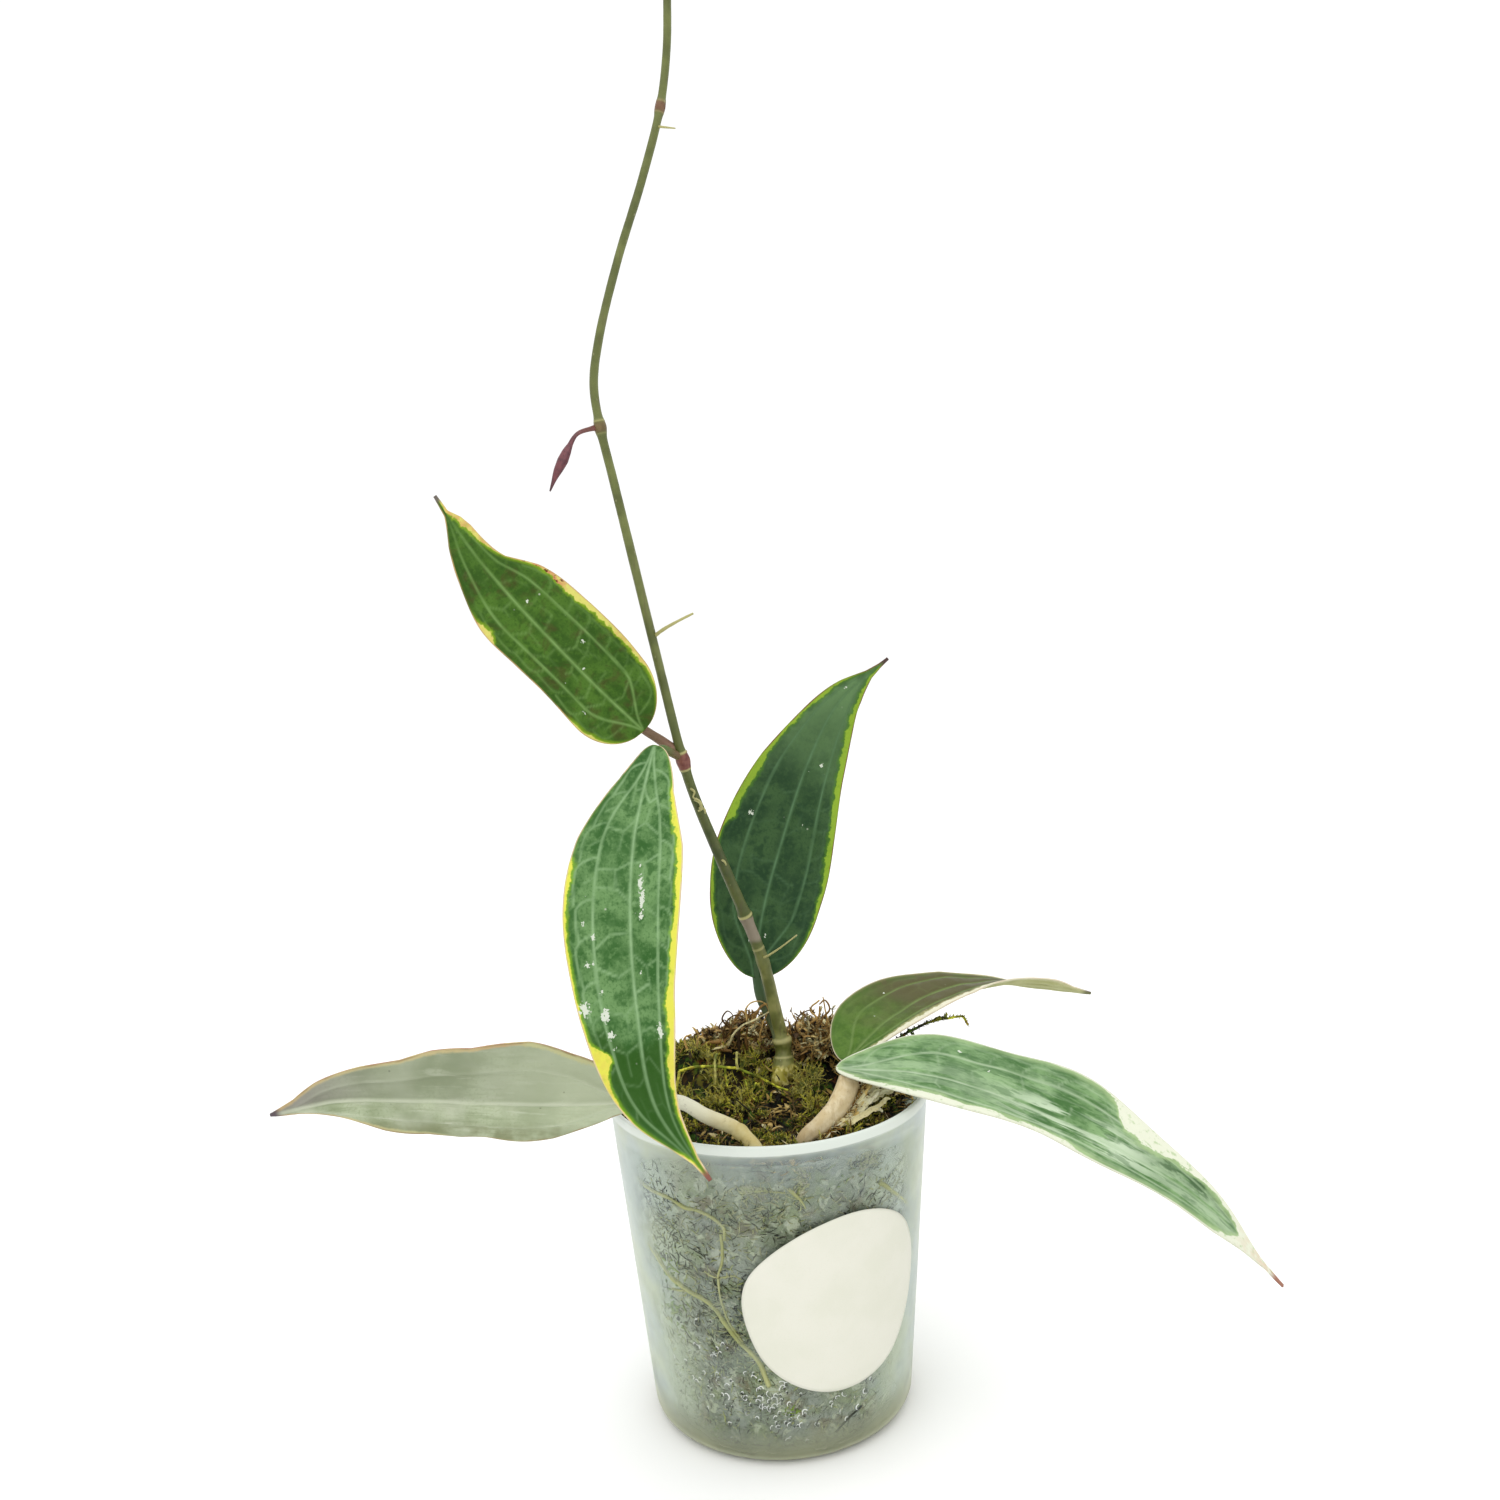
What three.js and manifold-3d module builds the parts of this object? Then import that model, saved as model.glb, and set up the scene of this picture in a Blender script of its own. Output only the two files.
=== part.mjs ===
// A climbing hoya with pale-edged leaves in a frosted nursery pot, as a three.js scene graph.
// Millimetres, +Z up. The origin is the centre of the pot's flat underside, and -Y is the front.
import * as THREE from "three";
import { mergeVertices } from "three/addons/utils/BufferGeometryUtils.js";
import Module from "manifold-3d";

const wasm = await Module();
wasm.setup();

// Driving dimensions of the pot
const POT_HEIGHT = 110.4;
const POT_RIM_RADIUS = 52.8;
const POT_TOP_RADIUS = 52.2;
const POT_BASE_RADIUS = 43.6;
const POT_CORNER = 5.8;
const POT_WALL = 1.2;
const POT_FLOOR = 1.6;
const RIM_BAND = 3.6;
const DRAIN_HOLES = 6;
const DRAIN_CIRCLE = 25;
const DRAIN_RADIUS = 3.5;
const RIM_BEVEL = 0.5;
const POT_SIDES = 40;

// Clearance between touching pieces
const GAP = 0.3;

// Driving dimensions of the filling
const MIX_TOP = 96;
const MAT_LEVEL = 103.2;
const MOSS_EDGE_FROM = 42;
const MOSS_EDGE_FALL = 0.25;
const MOSS_MOUNDS = [
  { at: [-25, 24], size: 11, rise: 11 },
  { at: [-3, 34], size: 11, rise: 13 },
  { at: [22, 26], size: 10, rise: 12 },
  { at: [10, 10], size: 6, rise: 2.5 },
];

// Driving dimensions of the label, as distances along and up the wall from its middle
const LABEL_TURN = 24.5;
const LABEL_HEIGHT = 55;
const LABEL_THICKNESS = 0.35;
const LABEL_OUTLINE = [
  [-32, 1], [-30, 11], [-22, 20], [-10, 27], [3, 29.5], [15, 26.5], [25, 19], [31, 7],
  [31, -7], [27, -17], [20, -25], [9, -29.5], [-5, -30], [-18, -25], [-27, -16],
];

// The vine: its course, its nodes by height, and its thickness
const VINE_COURSE = [
  [6.5, 14, 86], [6, 15, 106], [5.6, 17, 117.3], [4, 16.7, 127.1], [0.5, 15, 146.5],
  [-4.6, 13, 163.3], [-11.2, 8.3, 183.2], [-19.3, 0.6, 209.2], [-22, -1.9, 221.5],
  [-28.5, -5.3, 258.4], [-37.3, -7.7, 308], [-40.2, -8, 324], [-41.3, -7.7, 336.6],
  [-39, -6.9, 349.8], [-31.9, -4.6, 373], [-23.3, -2, 396.1], [-16.6, 0, 417.1],
  [-13.7, 1.1, 433.4], [-12.7, 2, 447.6], [-12.2, 2.6, 464], [-13.5, 2.4, 476],
];
const VINE_NODES = [
  { height: 107, swell: 1.3, reach: 4 },
  { height: 117.3, swell: 0.7, reach: 2.5 },
  { height: 146.5, swell: 0.4, reach: 2 },
  { height: 163.3, swell: 0.7, reach: 2.5 },
  { height: 220.5, swell: 0.8, reach: 2.5 },
  { height: 324, swell: 0.8, reach: 2.5 },
  { height: 417.1, swell: 0.7, reach: 2.2 },
  { height: 466, swell: 0.5, reach: 2 },
];
const VINE_RADIUS_LOW = 2.3;
const VINE_RADIUS_MIDDLE = 1.45;
const VINE_RADIUS_HIGH = 1.15;
const VINE_MIDDLE_HEIGHT = 230;
const VINE_TIP_HEIGHT = 476;
const VINE_TIP_TAPER = 8;
const ROOTLET_RADIUS = 0.4;
const ROOTLETS = [
  [[-27.6, -5.3, 259.8], [-24.4, -7.3, 262.6], [-19.3, -10, 265.4], [-15.2, -12, 266.6]],
  [[-18.1, -0.3, 411.6], [-15.1, -3, 410.5], [-12.3, -5, 409.6]],
  [[0.2, 14.5, 148], [2, 11.5, 149.5], [6.4, 9, 152.8], [12.2, 7, 157.5]],
];
const TIP_BUD_RADIUS = 0.8;
const TIP_BUDS = [
  [[-12.3, 2.6, 465], [-15, 1.2, 468.5], [-16.6, 0.4, 473]],
  [[-12.3, 2.6, 465], [-9.8, 3.6, 468], [-9, 4.2, 472]],
];

// The short leafy stem at the front right with its dry husk, and the young leaf high on the vine
const SIDE_STEM_COURSE = [[7, -35, 92], [10, -34.6, 104], [16, -31, 107.5], [22, -25, 111], [26.8, -17, 117]];
const SIDE_STEM_RADII = [1.9, 2.1, 2.9, 3.6, 3.9];
const HUSK_STRIPS = [
  {
    course: [
      [17, -31.6, 104.4], [21, -28.6, 105.8], [24.6, -25.4, 107.3], [27.5, -21.5, 110], [29.6, -17.6, 113],
    ],
    wide: 1.4,
  },
  { course: [[24.4, -25.4, 107.4], [30, -23, 110.2], [35, -19.5, 111.6], [40, -16.5, 111.2]], wide: 1.9 },
  { course: [[20.8, -28.6, 105.8], [27, -27.5, 106.8], [33, -24, 108.4], [38, -21, 110.4]], wide: 1.5 },
  { course: [[27.3, -21.5, 110], [31, -20, 112], [34.2, -18, 113.8], [36.4, -16.4, 115.4]], wide: 1.3 },
];
const YOUNG_COURSE = [
  [-41.5, -9, 324], [-46.8, -13, 322], [-49.3, -15, 318.2], [-51.4, -17, 313.9], [-53.4, -18, 310.1],
  [-55.4, -19, 305.4],
];
const YOUNG_RADII = [0.9, 0.8, 1.3, 2.1, 1.5, 0.3];

// Leaf stations along the midrib, at which the half widths below are given
const LEAF_STATIONS = [0, 0.15, 0.3, 0.45, 0.6, 0.75, 0.88, 1];
const LEAF_ROWS = 18;
const LEAF_COLUMNS = [-1, -0.8, -0.5, -0.3, -0.1, 0, 0.1, 0.3, 0.5, 0.8, 1];
const LEAF_EDGE_THICKNESS = 0.6;
const LEAF_BODY_THICKNESS = 0.35;
const MIDRIB_DEPTH = 0.7;
const SIDE_VEIN_AT = 0.5;
const SIDE_VEIN_DEPTH = 0.3;
const LEAVES = {
  leaf_upper_left: {
    midrib: [
      [-33, -6, 230], [-45, -12, 244], [-57, -17, 259], [-69, -19, 274], [-81, -17, 290], [-91, -13, 306],
    ],
    plus: [14, 16, 17.3, 16.5, 14, 6.5, 3, 0.5],
    minus: [14, 13.5, 12.7, 12.8, 13.2, 8.5, 3.5, 0.5],
    faces: [[-0.1, -0.96, 0.2], [-0.1, -0.96, 0.2], [-0.1, -0.96, 0.2]],
    fold: 10, shoulder: 0.18, wave: 1.2, waves: 3,
    stalk: [[-22.5, -0.8, 221.3], [-27, -3, 225.2], [-31.5, -5, 228.8], [-36, -7.2, 233.4]],
    stalkRadius: 1.5, colour: 0x3f7434,
  },
  leaf_hanging: {
    midrib: [
      [-31, -14, 224], [-36, -30, 203], [-38, -44, 180], [-37, -53, 154], [-33, -59, 127], [-18, -66, 107],
    ],
    plus: [9, 14, 18.3, 19.3, 16.8, 11.7, 4.8, 0.5],
    minus: [14, 15, 16.4, 15.6, 12.1, 9.3, 5.5, 0.5],
    faces: [[-0.2, -0.93, 0.28], [-0.2, -0.93, 0.28], [-0.2, -0.93, 0.28]],
    fold: 12, shoulder: 0.2, wave: 1, waves: 3,
    stalk: [[-22, -3, 219.3], [-26, -9, 220.8], [-30.5, -13.2, 222], [-33, -18.8, 216]],
    stalkRadius: 1.7, colour: 0x2f6a45,
  },
  leaf_upright: {
    midrib: [[-3, 22, 139], [2, 29, 162], [10, 35, 185], [19, 38, 208], [31, 37, 230], [48, 31, 245]],
    plus: [17, 18, 19, 16.6, 13.7, 9.8, 4.8, 0.5],
    minus: [14, 18, 21.8, 20.8, 16.4, 9.3, 4.1, 0.5],
    faces: [[0.05, -0.98, 0.1], [0.05, -0.98, 0.1], [0.05, -0.98, 0.1]],
    fold: 10, shoulder: 0.2, wave: 1, waves: 2.5,
    stalk: [[5.5, 17, 117.5], [1.5, 20.5, 124], [-1.8, 21.8, 132], [-2, 23.8, 145]],
    stalkRadius: 1.6, colour: 0x24543f,
  },
  leaf_left: {
    midrib: [
      [-40, -31, 119], [-63, -33, 120], [-86, -36, 123], [-109, -36, 125], [-133, -33, 125], [-155, -28, 119],
    ],
    plus: [8, 11, 15.3, 14.8, 13.6, 10.1, 4.6, 0.5],
    minus: [12, 15, 19, 17.9, 13.6, 9.6, 5, 0.5],
    faces: [[0, 0.97, 0.2], [0, 0.97, 0.2], [0, 0.97, 0.2]],
    fold: 8, shoulder: 0.16, wave: 1, waves: 2.5,
    stalk: [[-3.8, -40.2, 96], [-4.3, -40, 104.5], [-9.8, -34.4, 109.4], [-12, -32.8, 110.6],
      [-25, -31.2, 114.6], [-46, -31.8, 119.4]],
    stalkRadius: 2.1, colour: 0x8fa487,
  },
  leaf_right_front: {
    midrib: [[22, -16, 120], [52, -25, 119], [80, -35, 111], [108, -44, 98], [133, -49, 80], [153, -50, 56]],
    plus: [9, 11, 12, 9, 9.5, 9, 5.5, 0.5],
    minus: [12, 17, 19, 20, 16, 9, 3, 0.5],
    faces: [[0.1, -0.3, 0.95], [0.35, -0.5, 0.8], [0.5, -0.45, 0.75]],
    fold: 6, shoulder: 0.2, wave: 1, waves: 3,
    stalk: [[27.5, -18.2, 115.5], [26.8, -17.3, 118.6], [24.3, -16.6, 119.7]],
    stalkRadius: 1.7, colour: 0x4a7c50,
  },
  leaf_right_back: {
    midrib: [
      [25.4, -4, 117], [40.7, 13, 124], [59, 28.5, 128], [78, 42, 127], [98.7, 53, 122], [121, 61, 114],
    ],
    plus: [6, 8, 9, 9, 7.5, 5.5, 3.5, 0.5],
    minus: [13, 16.5, 16, 11.5, 7, 5.5, 3.5, 0.5],
    faces: [[-0.3, -0.5, 0.8], [-0.1, -0.35, 0.93], [0, 0.75, 0.6]],
    fold: 8, shoulder: 0.2, wave: 0.8, waves: 2,
    stalk: [[27, -16.5, 114.8], [27, -12, 116], [26.4, -7, 117], [27.2, -1.5, 118.4]],
    stalkRadius: 1.6, colour: 0x55613c,
  },
};

// Roots along the wall: turn about the pot in degrees from the front, and height
const ROOT_RADIUS = 1.3;
const ROOT_PRESSED = 0.25;
const ROOT_CROWN_RADIUS = 2.4;
const ROOT_START = [5.4, 8, 81.5];
const ROOT_CROWN = [[6.5, 14, 84.5], [6, 10, 82], [4, 4, 80]];
const ROOT_COURSES = [
  [[-57, 92], [-43, 89], [-28, 86], [-18, 80], [-13, 72]],
  [[-66, 72], [-52, 64], [-36, 60], [-24, 50], [-11, 37], [-6, 28]],
  [[42, 90], [60, 77], [78, 64], [94, 48], [104, 30]],
  [[150, 86], [170, 70], [186, 52], [196, 34], [200, 18]],
  [[-104, 84], [-118, 66], [-136, 48], [-150, 28]],
];

// Dead moss sprays, by their foot on the moss, and the mossy strand behind
const SPRAYS = {
  moss_spray_left: { foot: [-19, 29], height: 7, spread: 11, twigs: 5, seed: 11 },
  moss_spray_back: { foot: [-4, 30], height: 12, spread: 11, twigs: 5, seed: 5 },
  moss_spray_right: { foot: [18, 23], height: 12, spread: 10, twigs: 6, seed: 23 },
};
const STRAND_COURSES = [
  [
    [38, 15, 99], [38.5, 16, 106], [42, 18, 113], [47.2, 20, 116.4], [55.3, 24, 118.5], [62.5, 26, 119.4],
    [69, 28, 118.8], [70.8, 28, 116],
  ],
  [[50, 21.5, 117], [52, 20, 114.6], [55, 19.5, 113.6]],
  [[58, 25, 119], [60, 23, 121], [63, 22, 121.6]],
];
const RUNNER_HOLE_RADIUS = 1.7;
const SPRAY_FOOT_RADIUS = 2.4;
const SPRAY_FOOT_TIP = 1.9;
const SPRAY_FOOT_DEPTH = 4;
const SPRAY_FOOT_SHOWS = 1.5;
const SIDE_TWIGS_AT = [0.5, 0.75];
const TWIG_RADIUS = 0.75;
const SIDE_TWIG_RADIUS = 0.5;
const TWIG_TIP_RADIUS = 0.4;

const v3 = (p) => new THREE.Vector3(...p);
const degrees = (angle) => (angle * Math.PI) / 180;

// A closed three.js geometry from vertex triples and face triples
function polyhedron(vertices, faces) {
  const geometry = new THREE.BufferGeometry();
  geometry.setAttribute("position", new THREE.Float32BufferAttribute(vertices.flat(), 3));
  geometry.setIndex(faces.flat());
  return geometry;
}

// A three.js geometry as a solid that can be joined and cut
function solidOf(geometry) {
  const bare = geometry.clone();
  bare.deleteAttribute("normal");
  bare.deleteAttribute("uv");
  const merged = mergeVertices(bare, 1e-4);
  return new wasm.Manifold(new wasm.Mesh({
    numProp: 3,
    vertProperties: Float32Array.from(merged.getAttribute("position").array),
    triVerts: Uint32Array.from(merged.getIndex().array),
  }));
}

function geometryOf(solid) {
  const mesh = solid.getMesh();
  const geometry = new THREE.BufferGeometry();
  const positions = new Float32Array(mesh.numVert * 3);
  for (let i = 0; i < mesh.numVert; i += 1) {
    for (let k = 0; k < 3; k += 1) positions[3 * i + k] = mesh.vertProperties[mesh.numProp * i + k];
  }
  geometry.setAttribute("position", new THREE.BufferAttribute(positions, 3));
  geometry.setIndex(Array.from(mesh.triVerts));
  return geometry;
}

const join = (solids) => solids.reduce((sum, solid) => sum.add(solid));
const cut = (solid, tools) => tools.reduce((rest, tool) => rest.subtract(tool), solid);

// A value between evenly spaced ones
function evenly(values, t) {
  const place = THREE.MathUtils.clamp(t, 0, 1) * (values.length - 1);
  const i = Math.min(Math.floor(place), values.length - 2);
  return THREE.MathUtils.lerp(values[i], values[i + 1], place - i);
}

// A smooth value between the leaf stations
function atStation(values, t) {
  let i = 0;
  while (i < LEAF_STATIONS.length - 2 && t > LEAF_STATIONS[i + 1]) i += 1;
  const slope = (k) => {
    const a = Math.max(k - 1, 0);
    const b = Math.min(k + 1, values.length - 1);
    return (values[b] - values[a]) / (LEAF_STATIONS[b] - LEAF_STATIONS[a]);
  };
  const span = LEAF_STATIONS[i + 1] - LEAF_STATIONS[i];
  const s = (t - LEAF_STATIONS[i]) / span;
  return values[i] * (1 + 2 * s) * (1 - s) ** 2 + values[i + 1] * s * s * (3 - 2 * s)
    + slope(i) * span * s * (1 - s) ** 2 - slope(i + 1) * span * s * s * (1 - s);
}

const range = (count) => Array.from({ length: count }, (_, i) => i);
const evenStations = (steps) => range(steps + 1).map((i) => i / steps);

const smoothCurve = (course) => new THREE.CatmullRomCurve3(course.map(v3), false, "centripetal");

// A closed limb round a smooth course: one ring of vertices at each station, broad side towards face
function limb(course, radiusAt, shape = {}) {
  const { stations = evenStations(12), sides = 8, face = [0, -1, 0], thin = 1 } = shape;
  const curve = smoothCurve(course);
  const vertices = [];
  const faces = [];
  stations.forEach((t, row) => {
    const centre = curve.getPointAt(t);
    const along = curve.getTangentAt(t);
    const across = along.clone().cross(v3(face)).normalize();
    const out = across.clone().cross(along);
    const radius = radiusAt(t, centre);
    for (let k = 0; k < sides; k += 1) {
      const angle = (2 * Math.PI * (k + 0.5)) / sides;
      const point = centre.clone()
        .addScaledVector(across, radius * Math.cos(angle))
        .addScaledVector(out, radius * thin * Math.sin(angle));
      vertices.push(point.toArray());
      if (row === 0) continue;
      const next = (k + 1) % sides;
      const low = (row - 1) * sides;
      const high = row * sides;
      faces.push([low + k, low + next, high + next], [low + k, high + next, high + k]);
    }
  });
  const last = (stations.length - 1) * sides;
  const ends = [curve.getPointAt(stations[0]), curve.getPointAt(stations[stations.length - 1])];
  ends.forEach((end, which) => {
    const middle = vertices.push(end.toArray()) - 1;
    for (let k = 0; k < sides; k += 1) {
      const next = (k + 1) % sides;
      faces.push(which === 0 ? [middle, next, k] : [middle, last + k, last + next]);
    }
  });
  return outward(polyhedron(vertices, faces));
}

// Turns a closed geometry's faces outward
function outward(geometry) {
  const position = geometry.getAttribute("position");
  const index = geometry.getIndex();
  const [a, b, c] = [new THREE.Vector3(), new THREE.Vector3(), new THREE.Vector3()];
  let volume = 0;
  for (let i = 0; i < index.count; i += 3) {
    a.fromBufferAttribute(position, index.getX(i));
    b.fromBufferAttribute(position, index.getX(i + 1));
    c.fromBufferAttribute(position, index.getX(i + 2));
    volume += a.dot(b.cross(c));
  }
  if (volume < 0) {
    for (let i = 0; i < index.count; i += 3) {
      const second = index.getX(i + 1);
      index.setX(i + 1, index.getX(i + 2));
      index.setX(i + 2, second);
    }
  }
  return geometry;
}

// Repeatable random numbers between 0 and 1
function draws(seed) {
  let state = seed;
  return () => {
    state = (state * 1664525 + 1013904223) % 4294967296;
    return state / 4294967296;
  };
}

// Pot: a turned shell with a rim band and drain holes in its floor
const wallRadius = (z) => THREE.MathUtils.lerp(
  POT_BASE_RADIUS, POT_TOP_RADIUS, (z - POT_CORNER) / (POT_HEIGHT - RIM_BAND - POT_CORNER));
const innerRadius = (z) => wallRadius(z) - POT_WALL;

function makePot() {
  const corner = (radius, inset) => range(3).map((i) => {
    const angle = degrees(-90 + 45 * i);
    return new THREE.Vector2(
      POT_BASE_RADIUS - POT_CORNER + radius * Math.cos(angle),
      inset + radius + radius * Math.sin(angle));
  });
  const innerCorner = POT_CORNER - POT_WALL;
  const innerTop = innerRadius(POT_HEIGHT - RIM_BAND);
  const profile = [
    new THREE.Vector2(0, 0),
    ...corner(POT_CORNER, 0),
    new THREE.Vector2(POT_TOP_RADIUS, POT_HEIGHT - RIM_BAND),
    new THREE.Vector2(POT_RIM_RADIUS, POT_HEIGHT - RIM_BAND + RIM_BEVEL),
    new THREE.Vector2(POT_RIM_RADIUS, POT_HEIGHT - RIM_BEVEL),
    new THREE.Vector2(POT_RIM_RADIUS - RIM_BEVEL, POT_HEIGHT),
    new THREE.Vector2(innerTop + RIM_BEVEL, POT_HEIGHT),
    new THREE.Vector2(innerTop, POT_HEIGHT - RIM_BEVEL),
    new THREE.Vector2(innerTop, POT_HEIGHT - RIM_BAND),
    ...corner(innerCorner, POT_FLOOR).reverse(),
    new THREE.Vector2(0, POT_FLOOR),
  ];
  const shell = new THREE.LatheGeometry(profile, POT_SIDES);
  shell.rotateX(Math.PI / 2);
  const drains = range(DRAIN_HOLES).map((i) => {
    const hole = new THREE.CylinderGeometry(DRAIN_RADIUS, DRAIN_RADIUS, 4 * POT_FLOOR, 10);
    hole.rotateX(Math.PI / 2);
    const angle = (2 * Math.PI * (i + 0.5)) / DRAIN_HOLES;
    hole.translate(DRAIN_CIRCLE * Math.cos(angle), DRAIN_CIRCLE * Math.sin(angle), POT_FLOOR / 2);
    return solidOf(outward(hole));
  });
  return geometryOf(cut(solidOf(outward(shell)), drains));
}

// Label: a thin pebble-shaped plate bent round the wall
function makeLabel() {
  const outline = new THREE.CatmullRomCurve3(
    LABEL_OUTLINE.map(([along, rise]) => new THREE.Vector3(along, rise, 0)), true);
  const spokes = 30;
  const rings = [0.28, 0.52, 0.76, 1];
  const edge = outline.getSpacedPoints(spokes).slice(0, spokes);
  const vertices = [];
  const faces = [];
  const place = (along, rise, lift) => {
    const z = LABEL_HEIGHT + rise;
    const radius = wallRadius(z) + lift;
    const turn = degrees(LABEL_TURN) + along / wallRadius(LABEL_HEIGHT);
    return [radius * Math.sin(turn), -radius * Math.cos(turn), z];
  };
  const layers = [GAP, GAP + LABEL_THICKNESS];
  const count = 1 + rings.length * spokes;
  layers.forEach((lift) => {
    vertices.push(place(0, 0, lift));
    rings.forEach((ring) => edge.forEach((p) => vertices.push(place(p.x * ring, p.y * ring, lift))));
  });
  layers.forEach((_, layer) => {
    const flip = (a, b, c) => faces.push(layer === 0 ? [a, c, b] : [a, b, c]);
    const start = layer * count;
    for (let k = 0; k < spokes; k += 1) {
      const next = (k + 1) % spokes;
      flip(start, start + 1 + k, start + 1 + next);
      for (let r = 1; r < rings.length; r += 1) {
        const low = start + 1 + (r - 1) * spokes;
        const high = low + spokes;
        flip(low + k, high + k, high + next);
        flip(low + k, high + next, low + next);
      }
    }
  });
  const rim = 1 + (rings.length - 1) * spokes;
  for (let k = 0; k < spokes; k += 1) {
    const next = (k + 1) % spokes;
    faces.push([rim + k, rim + next, count + rim + next], [rim + k, count + rim + next, count + rim + k]);
  }
  return outward(polyhedron(vertices, faces));
}

// Height of the moss over the pot: a rolling surface with mounds at the back and round the vine
function mossHeight(x, y) {
  const mounds = MOSS_MOUNDS.reduce((sum, { at, size, rise }) => {
    const distance = Math.hypot(x - at[0], y - at[1]);
    return sum + rise * Math.exp(-0.5 * (distance / size) ** 2);
  }, 0);
  const edge = Math.max(Math.hypot(x, y) - MOSS_EDGE_FROM, 0);
  const tufts = Math.sin(0.5 * x + 1.2 * Math.sin(0.21 * y)) * Math.sin(0.47 * y + 0.8);
  return MAT_LEVEL + mounds + tufts + 0.6 * Math.sin(0.93 * x - 0.71 * y) - MOSS_EDGE_FALL * edge;
}

const clear = (z) => innerRadius(z) - GAP;

// A body that fills the pot up to a top given by a formula, with its side as radius and height pairs
function filling(bottom, topAt, spokes, rings, levels) {
  const vertices = [];
  const faces = [];
  const spoke = (k, radius, z) => {
    const angle = (2 * Math.PI * k) / spokes;
    return [radius * Math.cos(angle), radius * Math.sin(angle), z];
  };
  vertices.push([0, 0, topAt(0, 0)]);
  const rows = [];
  const addRow = (make) => rows.push(range(spokes).map((k) => vertices.push(make(k)) - 1));
  rings.forEach((ring) => addRow((k) => {
    const flat = spoke(k, ring * clear(MIX_TOP), 0);
    return [flat[0], flat[1], topAt(flat[0], flat[1])];
  }));
  levels.forEach(([radius, z]) => addRow((k) => spoke(k, radius, z)));
  const foot = vertices.push([0, 0, bottom]) - 1;
  for (let k = 0; k < spokes; k += 1) {
    const next = (k + 1) % spokes;
    faces.push([0, rows[0][k], rows[0][next]]);
    for (let r = 1; r < rows.length; r += 1) {
      const [inner, outer] = [rows[r - 1], rows[r]];
      faces.push([inner[k], outer[k], outer[next]], [inner[k], outer[next], inner[next]]);
    }
    const lowest = rows[rows.length - 1];
    faces.push([foot, lowest[next], lowest[k]]);
  }
  return solidOf(outward(polyhedron(vertices, faces)));
}

// Vine: one long limb, thicker at its nodes, with thin aerial rootlets
function vineRadius(z) {
  const share = (from, to) => THREE.MathUtils.clamp((z - from) / (to - from), 0, 1);
  const low = share(POT_HEIGHT, VINE_MIDDLE_HEIGHT);
  const high = share(VINE_MIDDLE_HEIGHT, VINE_TIP_HEIGHT);
  const plain = VINE_RADIUS_LOW + (VINE_RADIUS_MIDDLE - VINE_RADIUS_LOW) * low
    + (VINE_RADIUS_HIGH - VINE_RADIUS_MIDDLE) * high;
  const swelling = VINE_NODES.reduce(
    (sum, node) => sum + node.swell * Math.exp(-(((z - node.height) / node.reach) ** 2)), 0);
  const taper = THREE.MathUtils.clamp((VINE_TIP_HEIGHT - z) / VINE_TIP_TAPER, 0.25, 1);
  return (plain + swelling) * taper;
}

function vineStations() {
  const curve = smoothCurve(VINE_COURSE);
  const stationAt = (height) => {
    let [low, high] = [0, 1];
    for (let i = 0; i < 30; i += 1) {
      const middle = (low + high) / 2;
      if (curve.getPointAt(middle).z < height) low = middle;
      else high = middle;
    }
    return (low + high) / 2;
  };
  const nearNode = [-1.6, -0.7, 0, 0.7, 1.6];
  const heights = VINE_NODES.flatMap(({ height, reach }) => nearNode.map((k) => height + k * reach));
  const between = range(40).map((i) => 90 + i * 9.6)
    .filter((z) => VINE_NODES.every((node) => Math.abs(z - node.height) > 2.2 * node.reach));
  const inner = [...heights, ...between].sort((a, b) => a - b).map(stationAt);
  return [0, ...inner.filter((t) => t > 0.005 && t < 0.995), 1];
}

function makeVine(grow = 0) {
  const stem = solidOf(limb(VINE_COURSE, (_, centre) => vineRadius(centre.z) + grow,
    { stations: vineStations(), sides: 7 }));
  if (grow > 0) return stem;
  const rootlets = ROOTLETS.map((course) => solidOf(limb(
    course, (t) => ROOTLET_RADIUS * (1.1 - 0.5 * t), { stations: evenStations(5), sides: 4, face: [0, 0, 1] })));
  const buds = TIP_BUDS.map((course) => solidOf(limb(
    course, (t) => TIP_BUD_RADIUS * (1 - 0.7 * t), { stations: evenStations(4), sides: 4 })));
  return join([stem, ...rootlets, ...buds]);
}

function makeSideStem(grow = 0) {
  return solidOf(limb(SIDE_STEM_COURSE, (t) => evenly(SIDE_STEM_RADII, t) + grow,
    { stations: evenStations(12), sides: 10, face: [0.3, -0.9, 0.3], thin: 0.6 + 0.2 * Math.sign(grow) }));
}

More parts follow.
